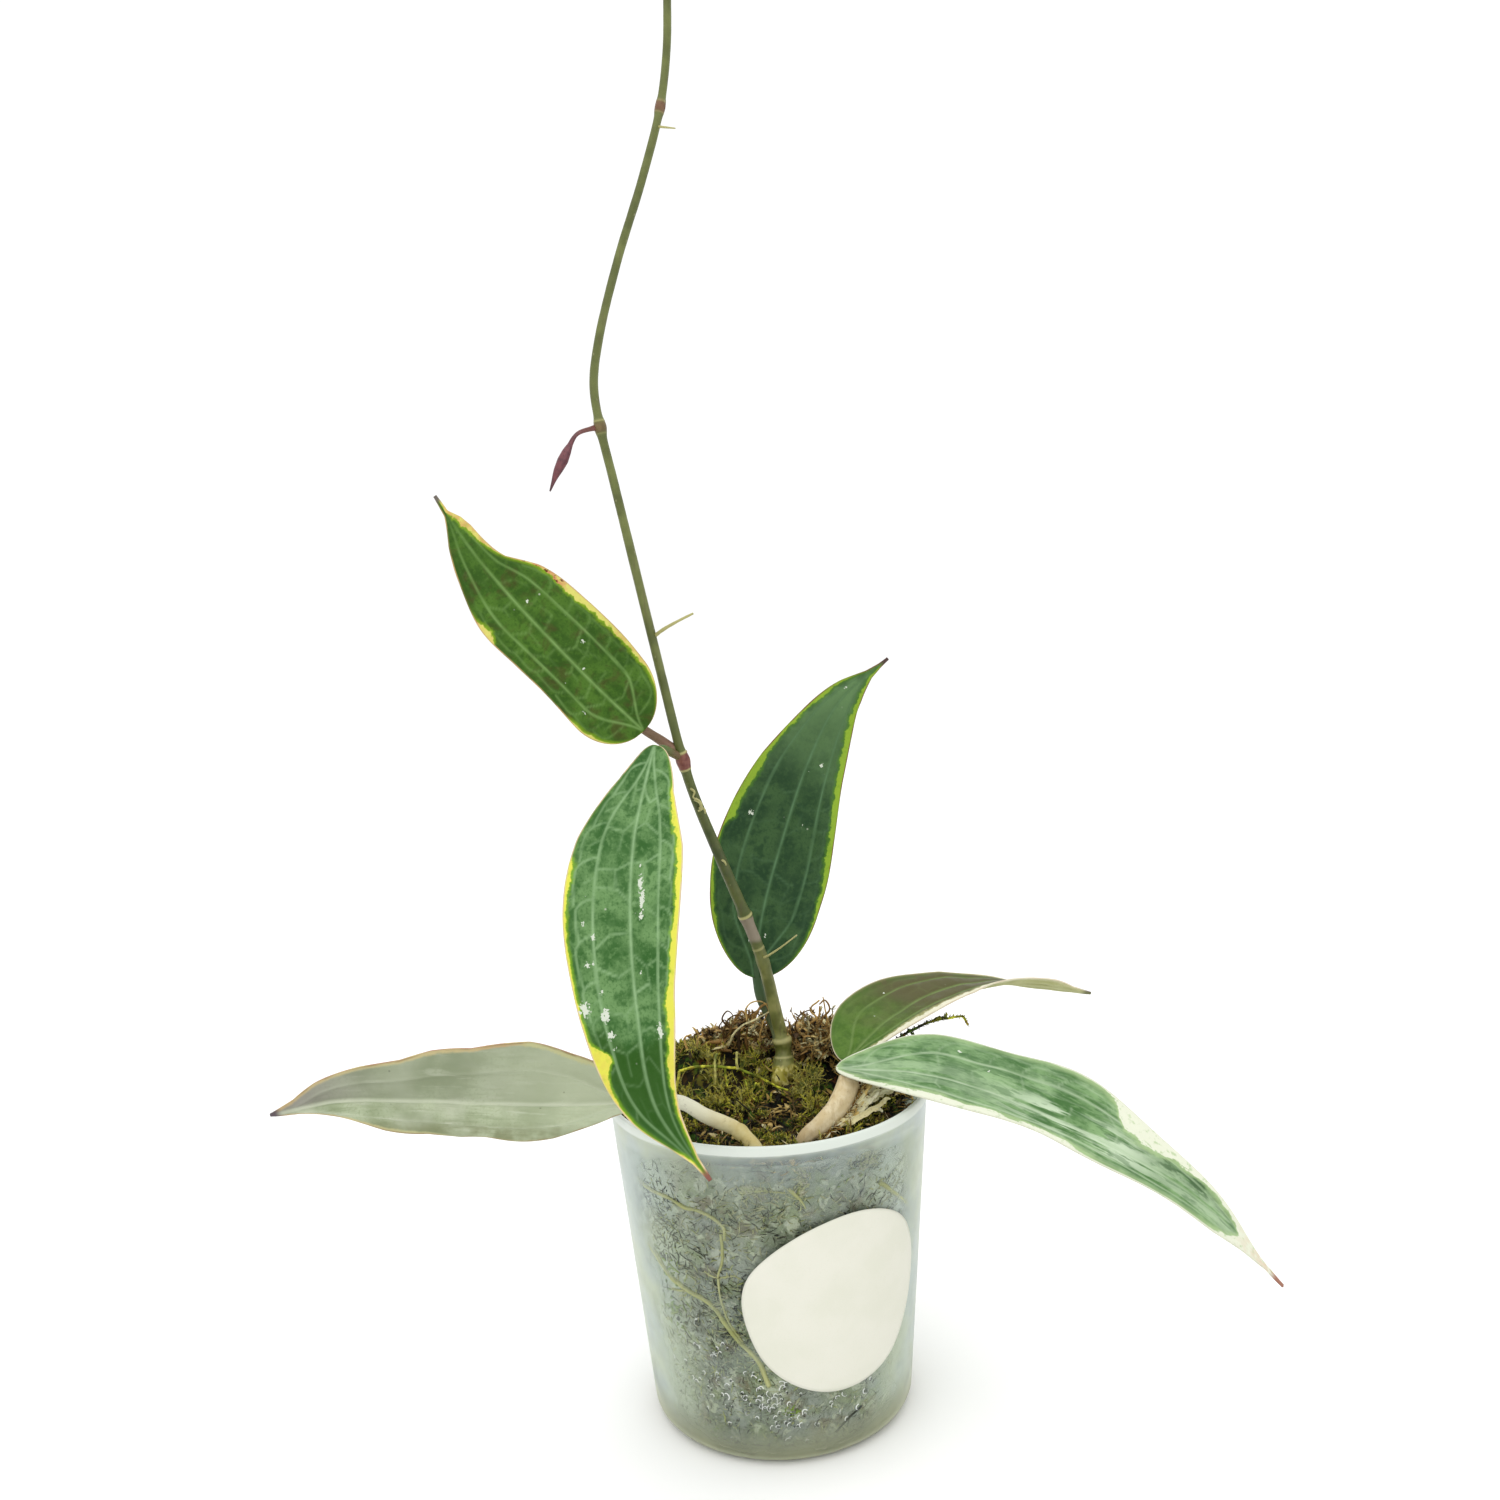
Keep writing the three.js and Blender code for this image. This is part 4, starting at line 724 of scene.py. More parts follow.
def leaf_paint(name, dark, light, vein, band, inner, outline, tip, flush=None, blotch=0.0,
               specks=0.0, rib=0.8, tip_from=0.965, ragged=1.0, grain=(1, 1, 1), broken=0.25,
               streaks=0.0):
    """The upper side of a leaf: mottled green, pale veins and margin, coloured outline and tip, and
    where streaks is set, painted sheen in pale streaks along the middle.
    """
    p = LeafPaint(name)
    run, edge = p.value("run"), p.value("edge")
    base = p.cover(dark, light, 0.36, 0.62, 15, 4)
    base = p.cover(base, dark, 0.48, 0.62, 4.5, 4, 0.8, move=(0.3, 0, 0), stretch=grain)
    base = p.cover(base, light, 0.48, 0.66, 1.7, 3, 0.5, stretch=grain)
    base = p.cover(base, dark, 0.5, 0.68, 0.8, 3, 0.5, move=(0, 0.4, 0), stretch=grain)
    if flush is not None:
        start, end, tone = flush
        share = p.step(p.maths("ADD", run, p.times(p.noise(14, 3), 0.25)), start, end)
        base = p.blend(p.times(share, 0.92), base, tone)
    if streaks:
        # painted sheen: pale streaks along the middle of the blade stand in for the gloss light
        # lying on it
        middle = p.maths("ABSOLUTE", p.value("aside"))
        share = p.times(p.step(run, 0.3, 0.45, 0.25, 1), p.step(middle, 0.002, 0.009, 1, 0.15))
        share = p.times(share, p.step(run, 0.58, 0.68, 1, 0.45))
        broken_up = p.noise(3.0, 8, stretch=(0.1, 1, 1), move=(0, 0.2, 0))
        share = p.times(share, p.step(broken_up, 0.42, 0.52))
        base = p.blend(p.times(share, streaks), base, (218, 238, 204))
        base = p.cover(base, (76, 118, 68), 0.53, 0.6, 3.0, 8, 0.5, stretch=(0.3, 1, 1),
                       move=(0, 0.7, 0))
        far = p.times(p.step(run, 0.56, 0.7), p.step(p.value("aside"), -0.0035, -0.001, 1, 0))
        far = p.times(far, p.step(p.noise(2.0, 6, stretch=(0.4, 1, 1)), 0.42, 0.56, 0.2, 0.85))
        base = p.blend(far, base, (70, 104, 62))
    if blotch:
        base = p.cover(base, (78, 70, 30), 0.5, 0.7, 6, 5, blotch, move=(0.3, 0.1, 0), twist=0.8)
    near = p.step(edge, 1.0, 4.5, 0.55, 0)
    base = p.blend(p.times(near, p.step(p.noise(5, 2, move=(0.1, 0.6, 0)), 0.4, 0.6)), base, dark)
    veins = p.value("vein")
    halo = p.step(veins, 0.02, 0.5, 0, 0.3)
    base = p.blend(halo, base, light)
    lines = p.times(veins, p.step(p.noise(7, 2), 0.3, 0.65, 0.6 * rib, rib))
    lines = p.times(lines, p.step(run, 0.55, 0.8, 1, 0.55))
    base = p.blend(lines, base, vein)
    margin, shown = ragged_margin(p, ragged, grain)
    base = p.blend(p.times(p.step(margin, -1.3 * ragged, 0.1, 0, 0.8), shown), base, inner)
    warm = p.value("warm")
    pale = p.blend(p.times(warm, p.step(p.noise(2.4, 2), 0.35, 0.6)), band, (228, 160, 108))
    red = p.times(p.step(warm, 0.6, 1.0), p.step(p.noise(1.6, 2, move=(0.4, 0, 0)), 0.56, 0.64))
    pale = p.blend(red, pale, (112, 44, 28))
    pale = p.cover(pale, inner, 0.54, 0.68, 2.2, 4, broken, move=(0.6, 0, 0))
    base = p.blend(p.times(p.step(margin, -0.15, 0.3), shown), base, pale)
    line = p.times(p.step(edge, 0.1, 0.55, 1, 0), p.step(p.noise(9, 2), 0.35, 0.6, 0.3, 1))
    base = p.blend(line, base, outline)
    base = p.blend(p.step(run, tip_from, tip_from + 0.025), base, tip)
    chalk = p.value("chalk")
    grains = p.maths("ADD", chalk, p.times(p.maths("SUBTRACT", p.noise(0.8, 3), 0.5), 3.2))
    chalky = p.times(p.step(grains, 0.46, 0.58), p.step(chalk, 0.02, 0.2))
    base = p.blend(chalky, base, (232, 240, 222))
    if specks:
        dust = p.times(p.step(p.cells(5.5, move=(0.21, 0.5, 0.13)), 0.0, 0.09, 1, 0),
                       p.step(p.noise(20, 2, move=(0.7, 0, 0)), 0.5, 0.56))
        base = p.blend(p.times(dust, specks), base, (215, 222, 200))
    rough = p.step(p.noise(5, 3), 0.3, 0.7, 0.34, 0.52)
    return p.coat(base, 0.55, 2, 0.035, 0.6, IOR=1.42, rough=rough, shine=0.18)


def under_paint(name, pale, shade, vein, band, outline, tip, flush=None, halves=False, ribs=0.5):
    """The underside of a leaf: paler, matt, with fine lengthwise streaks, and where halves is set,
    painted shade on one half.
    """
    p = LeafPaint(name)
    run, edge = p.value("run"), p.value("edge")
    base = p.cover(pale, shade, 0.36, 0.64, 20, 4)
    base = p.cover(base, shade, 0.48, 0.66, 1.4, 4, 0.5, stretch=(0.1, 1, 1))
    base = p.cover(base, vein, 0.54, 0.7, 2.6, 4, 0.55, stretch=(0.16, 1, 1))
    base = p.cover(base, shade, 0.5, 0.66, 0.9, 3, 0.4)
    if flush is not None:
        base = p.cover(base, flush, 0.48, 0.66, 26, 3, 0.6, move=(0.2, 0, 0.4))
    if halves:
        # painted shade: the half on the minus side of the midrib is darker grey-green, for the
        # shade on that half of the folded blade
        aside = p.value("aside")
        base = p.blend(p.step(aside, -0.0012, 0.0002, 0.55, 0), base, (150, 158, 132))
        base = p.blend(p.step(run, 0.1, 0.5, 0.62, 0), base, (216, 226, 192))
        low = p.times(p.step(aside, 0.006, 0.013), p.step(p.noise(12, 3), 0.4, 0.6, 0.2, 0.8))
        base = p.blend(low, base, (134, 140, 98))
        # painted shade: grey on the minus half towards the tip
        tip_half_shade = p.times(p.step(run, 0.6, 0.95, 0, 0.8), p.step(aside, -0.002, 0.002, 1, 0))
        base = p.blend(tip_half_shade, base, (148, 142, 136))
    midrib = p.step(p.maths("ABSOLUTE", p.value("aside")), 0.0002, 0.001, 0.5, 0)
    base = p.blend(p.maths("MAXIMUM", p.times(p.value("vein"), ribs), midrib), base, vein)
    margin, shown = ragged_margin(p, 0.6)
    warm = p.blend(p.times(p.value("warm"), 0.8), band, (216, 150, 104))
    base = p.blend(p.times(p.step(margin, -0.6, 0.4, 0, 0.9), shown), base, warm)
    line = p.times(p.step(edge, 0.15, 0.8, 1, 0), p.step(p.noise(8, 2), 0.4, 0.62, 0.2, 1))
    base = p.blend(line, base, outline)
    base = p.blend(p.step(run, 0.955, 0.985), base, tip)
    base = p.blend(p.step(p.cells(7, move=(0.1, 0.3, 0.2)), 0.0, 0.07, 0.6, 0), base, (70, 66, 55))
    rough = p.step(p.noise(6, 2), 0.3, 0.7, 0.5, 0.65)
    return p.coat(base, 0.8, 3, 0.06, 0.6, stretch=(0.25, 1, 1), rough=rough, shine=0.2)


def make_leaves():
    cream, grey_tip = (250, 248, 220), (120, 112, 104)
    under_green = under_paint("leaf_underside", (168, 178, 142), (140, 154, 120), (198, 206, 172),
                              (226, 222, 176), (196, 158, 126), (96, 66, 62))
    upper = {
        "leaf_upper_left": leaf_paint(
            "leaf_a", (52, 92, 18), (84, 126, 40), (150, 190, 112), (238, 232, 122), (150, 190, 30),
            (220, 186, 130), grey_tip, blotch=0.6, specks=1.0, rib=0.8
        ),
        "leaf_hanging": leaf_paint(
            "leaf_b", (56, 106, 44), (122, 164, 102), (184, 222, 168), (246, 244, 92),
            (140, 190, 36), (248, 222, 184), (150, 96, 84), specks=1.0,
            flush=(0.75, 0.83, (46, 92, 18)), rib=0.66
        ),
        "leaf_upright": leaf_paint(
            "leaf_c", (38, 72, 40), (68, 102, 58), (116, 158, 114), (156, 192, 56), (86, 136, 38),
            (132, 84, 60), (92, 70, 66), specks=0.8, rib=0.66, flush=(0.6, 1.05, (116, 154, 100))
        ),
        "leaf_left": leaf_paint(
            "leaf_d", (60, 98, 46), (84, 122, 62), (136, 170, 110), (232, 226, 150), (150, 176, 70),
            (196, 150, 120), grey_tip, specks=0.6
        ),
        # leaf E carries pale streaks of painted sheen along its middle
        "leaf_right_front": leaf_paint(
            "leaf_e", (74, 120, 60), (146, 184, 126), (208, 228, 194), (248, 252, 228),
            (186, 214, 154), (244, 246, 222), (176, 122, 100), specks=0.5, tip_from=0.955,
            ragged=1.9, grain=(0.3, 1, 1), broken=0.7, streaks=0.95
        ),
        "leaf_right_back": leaf_paint(
            "leaf_f", (74, 112, 30), (98, 134, 50), (142, 166, 100), cream, (190, 186, 130),
            (240, 226, 198), (110, 96, 84), flush=(0.24, 0.5, (96, 90, 56)), specks=0.6, rib=0.6
        ),
    }
    lower = {
        "leaf_right_back": under_paint("leaf_f_under", (196, 198, 142), (168, 170, 110),
                                       (208, 210, 162), (222, 222, 180), (196, 194, 140),
                                       (120, 122, 82)),
        "leaf_left": under_paint("leaf_d_under", (202, 214, 178), (146, 160, 120), (226, 232, 206),
                                 (214, 212, 156), (176, 156, 112), (98, 86, 92),
                                 flush=(208, 214, 188), halves=True, ribs=0.16),
    }
    for name, plan in LEAVES.items():
        make_leaf(name, plan, upper[name], lower.get(name, under_green))


def stalk_paint(name, plain, flush, end):
    p = Paint(name)
    base = p.cover(plain, flush, 0.35, 0.65, 6, 3)
    base = p.blend(p.step(p.value("run"), 0.25, 0.7, 0, 0.9), base, end)
    base = p.cover(base, (90, 66, 44), 0.62, 0.72, 1.2, 2, 0.25)
    return p.coat(base, 0.7, 3, 0.08, 0.8, rough=0.55, shine=0.35)


def make_stalks():
    paints = {
        "leaf_upper_left": ((146, 106, 88), (172, 138, 114), (126, 104, 78)),
        "leaf_hanging": ((112, 86, 58), (124, 112, 70), (92, 124, 60)),
        "leaf_upright": ((88, 100, 60), (104, 114, 76), (64, 96, 56)),
        "leaf_left": ((212, 192, 120), (228, 214, 154), (255, 255, 232)),
        "leaf_right_front": ((200, 178, 130), (214, 198, 156), (224, 222, 190)),
        "leaf_right_back": ((190, 170, 124), (170, 160, 110), (150, 160, 96)),
    }
    for name, plan in LEAVES.items():
        blade = Course(plan["midrib"])
        along, facing = blade.along(plan["joins"]), evenly(plan["faces"], plan["joins"])
        under = unit(facing - np.dot(facing, along) * along)
        course = Course([*plan["stalk"], blade.at(plan["joins"]) - 1.9 * under])
        t = np.linspace(0, 1, int(course.length / 0.7) + 8)
        points = course.at(t)
        taper = [1, 1, 1, 0.95, 0.8] if name == "leaf_left" else [1.15, 1, 0.95, 0.85]
        radius = plan["stalk_radius"] * evenly(taper, t)
        radius = radius * (1 + 0.05 * noise(points, 3, 5)) + 0.35 * bell(t, 0, 0.07)
        points = points + 0.25 * jitter(points, 8, 1) * smooth(t, 0, 0.15)[:, None]
        if name == "leaf_left":  # a joint with a notch
            radius = radius - 0.2 * bell(t, 0.33, 0.01) + 0.35 * bell(t, 0.3, 0.03)
        batch = Batch()
        tube(batch, points, radius, sides=16, run=t)
        batch.build(name + "_stalk", stalk_paint(name + "_stalk", *paints[name]), name)


make_leaves()
make_stalks()

# ---------------------------------------------------------------- vine

VINE_COURSE = [
    [6.5, 14, 86], [6, 15, 106], [5.6, 17, 117.3], [4, 16.7, 127.1], [0.5, 15, 146.5],
    [-4.6, 13, 163.3], [-11.2, 8.3, 183.2], [-19.3, 0.6, 209.2], [-22, -1.9, 221.5],
    [-28.5, -5.3, 258.4], [-37.3, -7.7, 308], [-40.2, -8, 324], [-41.3, -7.7, 336.6],
    [-39, -6.9, 349.8], [-31.9, -4.6, 373], [-23.3, -2, 396.1], [-16.6, 0, 417.1],
    [-13.7, 1.1, 433.4], [-12.7, 2, 447.6], [-12.2, 2.6, 464], [-13.5, 2.4, 476],
]
# Height, swelling and reach of each node, and how strongly it is coloured
VINE_NODES = [
    (108.6, 2.1, 4.2, 0), (117.6, 1.0, 2.2, 0), (146.5, 0.2, 2, 0), (163.3, 0.4, 2.2, 0),
    (219.2, 0.8, 2.7, 1.0), (324, 0.6, 2.2, 0.42), (417.1, 0.4, 2.2, 0.5), (466, 0.5, 2, 0.7),
]
# Height, strength and half width of each pale ring
VINE_RINGS = [
    (118.3, 0.9, 1.0), (112.4, 0.7, 0.5), (163.6, 1.0, 0.42), (216.4, 0.8, 0.42), (222, 0.9, 0.42),
    (322, 0.4, 0.4), (326, 0.6, 0.4), (151.6, 0.7, 0.4), (415.4, 0.4, 0.4), (418.8, 0.5, 0.4),
    (190, 0.15, 0.4), (278, 0.2, 0.4), (365, 0.2, 0.4),
]
# Course and radius of each side shoot, rootlet and scale on the vine
VINE_TWIGS = [
    ([[5.0, 11.6, 102.4], [3.9, 11.2, 106], [4.4, 12.6, 109.2]], 3.4),
    ([[-27.6, -5.3, 259.8], [-24.6, -7.3, 261.8], [-19.6, -10, 264.4], [-15.2, -12, 266.4]], 0.62),
    ([[-18.1, -0.3, 411.6], [-15.1, -3, 410.5], [-12.3, -5, 409.6]], 0.4),
    ([[0.2, 14.5, 148], [2, 11.5, 149.5], [6.4, 9, 152.8], [12.2, 7, 157.5]], 0.4),
    ([[-12.3, 2.6, 465], [-15, 1.2, 468.5], [-16.6, 0.4, 473]], 0.8),
    ([[-12.3, 2.6, 465], [-9.8, 3.6, 468], [-9, 4.2, 472]], 0.8),
    ([[-19.6, -1.2, 210], [-18.4, -2.2, 209], [-18.9, -2.4, 207.4], [-17.4, -2.2, 206.2]], 0.35),
    ([[-18.4, -1.2, 206.5], [-16.8, -2.0, 205.4], [-16.6, -1.8, 203.2], [-17.6, -1.4, 202.6]], 0.6),
    ([[-17.2, 0.4, 203.4], [-15.6, -0.4, 202.8], [-15.4, 0, 201.4]], 0.5),
    ([[-11.2, 6.6, 184.4], [-10.2, 5.6, 183.8], [-9.8, 6.2, 182.6]], 0.4),
]
VINE_TOP = 476
VINE_RADII = (2.3, 1.45, 1.15)  # at the foot, at half height and at the top


def make_vine():
    course = Course(VINE_COURSE)
    t = np.linspace(0, 1, 760)
    points = course.at(t)
    z = points[:, 2]
    lower, upper = np.clip((z - 110.4) / 119.6, 0, 1), np.clip((z - 230) / 246, 0, 1)
    foot, middle, top = VINE_RADII
    plain = foot + (middle - foot) * lower + (top - middle) * upper
    node = np.zeros(len(z))
    groove = np.zeros(len(z))
    for height, swell, reach, strength in VINE_NODES:
        plain = plain + swell * bell(z, height, reach)
        node = np.maximum(node, strength * bell(z, height, reach, 4))
    for height, strength, wide in VINE_RINGS:
        groove = np.maximum(groove, strength * bell(z, height, wide))
    radius = plain * np.clip((VINE_TOP - z) / 8, 0.25, 1)
    uneven = 1 + 0.03 * noise(points, 5, 4) + 0.015 * noise(points, 1.4, 6)
    radius = radius * uneven + 0.14 * groove
    batch = Batch()
    tube(batch, points, radius, sides=22, section=ridged(0.035, 3, 5), node=node, groove=groove)
    p = Paint("vine")
    z_m = p.height()
    low = p.cover((108, 114, 50), (156, 156, 88), 0.35, 0.65, 7, 3)
    high = p.cover((92, 100, 46), (122, 130, 68), 0.3, 0.7, 9, 3)
    mid = p.cover((64, 78, 28), (94, 104, 44), 0.3, 0.7, 8, 3)
    base = p.blend(p.step(z_m, 0.128, 0.165), low, mid)
    base = p.blend(p.step(z_m, 0.20, 0.26), base, high)
    foot = p.cover((176, 166, 62), (232, 222, 136), 0.45, 0.6, 1.8, 3)
    uneven_z = p.maths("ADD", z_m, p.times(p.noise(3, 2), 0.004))
    base = p.blend(p.step(uneven_z, 0.1115, 0.1135, 1, 0), base, foot)
    sheath = p.times(p.step(z_m, 0.1535, 0.1555), p.step(z_m, 0.1625, 0.1635, 1, 0))
    base = p.blend(p.times(sheath, 0.75), base, (166, 150, 134))
    base = p.cover(base, (98, 84, 58), 0.55, 0.7, 1.1, 3, 0.35, stretch=(1, 1, 0.06))
    purple = p.cover((112, 52, 48), (142, 88, 74), 0.35, 0.65, 2.2, 2)
    base = p.blend(p.step(p.value("node"), 0.15, 0.7), base, purple)
    base = p.blend(p.step(p.value("groove"), 0.1, 0.8, 0, 0.85), base, (204, 198, 132))
    freckles = p.step(p.cells(2.4, stretch=(1, 1, 0.5)), 0.0, 0.14, 0.7, 0)
    base = p.blend(freckles, base, (176, 172, 128))
    rough = p.step(p.noise(3, 2), 0.3, 0.7, 0.42, 0.6)
    bark = p.coat(base, 0.8, 3, 0.1, 0.7, stretch=(1, 1, 0.2), rough=rough, shine=0.4)
    for course_points, thick in VINE_TWIGS:
        twig = Course(course_points)
        s = np.linspace(0, 1, 26)
        radius = thick * (1.1 - 0.55 * s) * (1 + 0.1 * noise(twig.at(s), 1.5, 3))
        tube(batch, twig.at(s), radius, sides=18 if thick > 2 else 8, node=0.0,
             groove=0.0 if thick > 0.7 else 0.9)
    batch.build("vine_stem", bark, "vine")


make_vine()

# ---------------------------------------------------------------- pot

POT_HEIGHT, RIM_BAND, CORNER = 110.4, 3.6, 5.8
TOP_RADIUS, BASE_RADIUS, RIM_RADIUS = 52.2, 43.6, 52.8
WALL, FLOOR, GAP = 1.2, 1.6, 0.3
WALL_ROOM = 0.4  # what the moss keeps free of the wall
MIX_TOP = 96
DRAINS, DRAIN_RADIUS, DRAIN_RING = 6, 3.5, 25
LABEL_TURN, LABEL_LEVEL, LABEL_DEPTH = math.radians(24.5), 55, 0.35


def wall_radius(z):
    height = POT_HEIGHT - RIM_BAND - CORNER
    return BASE_RADIUS + (TOP_RADIUS - BASE_RADIUS) * (z - CORNER) / height


def clear(z):
    return wall_radius(z) - WALL - GAP


def at_wall(turn, z, lift=0.0):
    """A point of the filling's side, by its turn in degrees from the front and its height."""
    turn, z = np.radians(np.asarray(turn, float)), np.asarray(z, float)
    radius = clear(z) + lift
    return np.stack([radius * np.sin(turn), -radius * np.cos(turn), z], axis=-1)


def corner(radius, centre_r, centre_z, steps=7):
    bend = np.linspace(-np.pi / 2, 0, steps)
    return [(centre_r + radius * math.cos(a), centre_z + radius * math.sin(a)) for a in bend]


def make_pot():
    shoulder = POT_HEIGHT - RIM_BAND
    heights = np.linspace(CORNER + 4, shoulder, 16)
    outer = [(0, 0), (20, 0), *corner(CORNER, BASE_RADIUS - CORNER, CORNER)]
    outer += [(wall_radius(z), z) for z in heights]
    lip = [(RIM_RADIUS - 0.15, shoulder + 0.1), (RIM_RADIUS, shoulder + 0.5),
           (RIM_RADIUS, POT_HEIGHT - 0.7), (RIM_RADIUS - 0.2, POT_HEIGHT - 0.2),
           (RIM_RADIUS - 0.6, POT_HEIGHT), (RIM_RADIUS - 1.1, POT_HEIGHT - 0.1),
           (RIM_RADIUS - 1.45, POT_HEIGHT - 0.5)]
    inner = [(wall_radius(z) - WALL, z) for z in heights[::-1]]
    inner += corner(CORNER - WALL, BASE_RADIUS - CORNER, CORNER - WALL + FLOOR)[::-1]
    inner += [(20, FLOOR), (0, FLOOR)]
    batch = Batch()
    lathe(batch, outer + lip + inner, 144)
    p = Paint("pot_frosted", 0.32, 0.5, IOR=1.45)
    facing = p.node("LayerWeight", {"Blend": 0.5}, output="Facing")
    fog = p.step(p.noise(11, 3), 0.35, 0.65, 0.01, 0.12)
    veil = p.maths("ADD", fog, p.step(facing, 0.3, 0.93, 0.0, 0.76), clamp=True)
    # denser at the foot, near the top and on the rim band
    for span in ((0.001, 0.015, 0.55, 0), (0.092, 0.106, 0, 0.2), (0.1068, 0.1078, 0, 0.85)):
        veil = p.maths("ADD", veil, p.step(p.height(), *span), clamp=True)
    tint = p.cover((204, 218, 212), (214, 226, 200), 0.35, 0.65, 20, 3)
    tint = p.blend(p.step(p.height(), 0.003, 0.017, 0.9, 0), tint, (170, 174, 136))
    tint = p.blend(p.step(p.height(), 0.1066, 0.1076), tint, (238, 246, 236))
    pot = batch.build("pot_body", p.coat(tint, 1.3, 2, 0.02, 0.4, Alpha=veil), "pot")
    cutters = []
    for k in range(DRAINS):
        angle = 2 * math.pi * (k + 0.5) / DRAINS
        hole = Batch()
        lathe(hole, [(0, -3), (DRAIN_RADIUS, -3), (DRAIN_RADIUS, 5), (0, 5)], 36)
        middle = DRAIN_RING * np.array([math.cos(angle), math.sin(angle), 0])
        hole.points[0] = hole.points[0] + middle
        cutter = bpy.data.objects.new("hole", hole.mesh("hole"))
        scene.collection.objects.link(cutter)
        cutters.append(cutter)
        change = pot.modifiers.new("hole", "BOOLEAN")
        change.operation = "DIFFERENCE"
        change.object = cutter
        change.solver = "EXACT"
    cut = bpy.data.meshes.new_from_object(pot.evaluated_get(bpy.context.evaluated_depsgraph_get()))
    pot.modifiers.clear()
    pot.data = cut
    for cutter in cutters:
        bpy.data.objects.remove(cutter)


def make_label():
    outline = [
        [-32, 1], [-30, 11], [-22, 20], [-10, 27], [3, 29.5], [15, 26.5], [25, 19], [31, 7],
        [31, -7], [27, -17], [20, -25], [9, -29.5], [-5, -30], [-18, -25], [-27, -16],
    ]
    loop = Course([[a, b, 0] for a, b in outline[-3:] + outline + outline[:3]], 40)
    spokes = 144
    line = loop.line[3 * 40:(3 + len(outline)) * 40]
    closed = np.vstack([line, line[:1]])
    run = np.r_[0, np.cumsum(np.linalg.norm(np.diff(closed, axis=0), axis=1))]
    even = np.linspace(0, run[-1], spokes, endpoint=False)
    edge = np.stack([np.interp(even, run, closed[:, k]) for k in (0, 1)], 1)
    rings = np.array([0.12, 0.25, 0.4, 0.55, 0.7, 0.85, 0.96, 1.0])

    def place(flat, lift):
        z = LABEL_LEVEL + flat[..., 1]
        turn = LABEL_TURN + flat[..., 0] / wall_radius(LABEL_LEVEL)
        radius = wall_radius(z) + lift
        return np.stack([radius * np.sin(turn), -radius * np.cos(turn), z], -1)

    flat = edge[None] * rings[:, None, None]
    drop = np.where(rings > 0.99, 0.08, 0)[:, None]
    front = place(flat, GAP + LABEL_DEPTH - drop)
    back = place(flat, np.full(flat.shape[:2], GAP))
    centre = np.stack([place(np.zeros(2), GAP + LABEL_DEPTH), place(np.zeros(2), GAP)])
    batch = Batch()
    body(batch, np.vstack([front, back[::-1]]), centre, flip=True)
    p = Paint("label_paper", 0.55, 0.3)
    base = p.cover((247, 247, 230), (252, 251, 236), 0.35, 0.65, 18, 3)
    base = p.cover(base, (236, 236, 214), 0.55, 0.75, 0.5, 2, 0.25)
    batch.build("label_face", p.coat(base, 0.4, 2, 0.02, 0.5), "label")


make_pot()
make_label()

# ---------------------------------------------------------------- small growth


def strands(batch, paths, radii, sides=3, thin=1.0, **values):
    """Many thin closed tubes at once: paths by strand and ring, radii alike."""
    n, k, _ = paths.shape
    tangents = unit(np.gradient(paths, axis=1))
    mean = unit(tangents.mean(axis=1))
    guide = np.where(np.abs(mean[:, 2:]) < 0.75, [[0.05, 0.1, 1.0]], [[1.0, 0.2, 0.05]])[:, None]
    across = unit(np.cross(tangents, guide))
    out = np.cross(tangents, across)
    turn = circle(sides)
    ring = across[:, :, None] * np.cos(turn)[:, None]
    ring = ring + thin * out[:, :, None] * np.sin(turn)[:, None]
    radii = np.broadcast_to(radii, (n, k))
    skin = paths[:, :, None] + radii[..., None, None] * ring
    one = grid_faces(k, sides, closed=True)
    fan = np.arange(1, sides - 1)
    low = np.stack([np.zeros_like(fan), fan + 1, fan], 1)
    high = (k - 1) * sides + low[:, ::-1]
    shift = (np.arange(n) * k * sides)[:, None, None]
    faces = [(block[None] + shift).reshape(-1, block.shape[1]) for block in (one, low, high)]
    spread = {}
    for key, value in values.items():
        spread[key] = np.repeat(np.broadcast_to(np.asarray(value, float), (n, k)).ravel(), sides)
    batch.add(skin, *faces, **spread)


def spikes(batch, feet, directions, lengths, widths, **values):
    """Many small closed leaflets: a narrow triangle at the foot and a point."""
    n = len(feet)
    guide = np.where(np.abs(directions[:, 2:]) < 0.75, [[0.0, 0.1, 1.0]], [[1.0, 0.2, 0.0]])
    across = unit(np.cross(directions, guide))
    out = np.cross(directions, across)
    wide, lengths = widths[:, None], lengths[:, None]
    middle = feet + 0.35 * lengths * directions
    corners = np.stack([middle + wide * across, middle - wide * across, feet + 0.3 * wide * out,
                        feet + lengths * directions - 0.2 * lengths * out], 1)
    one = np.array([[0, 2, 3], [2, 1, 3], [1, 0, 3], [0, 1, 2]])
    faces = (one[None] + 4 * np.arange(n)[:, None, None]).reshape(-1, 3)
    batch.add(corners, faces,
              **{key: np.repeat(np.broadcast_to(value, (n,)), 4) for key, value in values.items()})


def bent_paths(feet, directions, lengths, sag, rings, r):
    """Paths that start at feet and bend a random way by a share of their length."""
    s = np.linspace(0, 1, rings)[None, :, None]
    swing = r.normal(size=feet.shape)
    swing -= np.sum(swing * directions, axis=1, keepdims=True) * directions
    swing[:, 2] -= 0.4
    lengths = lengths[:, None, None]
    return feet[:, None] + lengths * (directions[:, None] * s + sag * unit(swing)[:, None] * s * s)


LEAFLETS, LEAFLET_LENGTH, SHOOT_RADIUS = 8, 1.3, 0.2


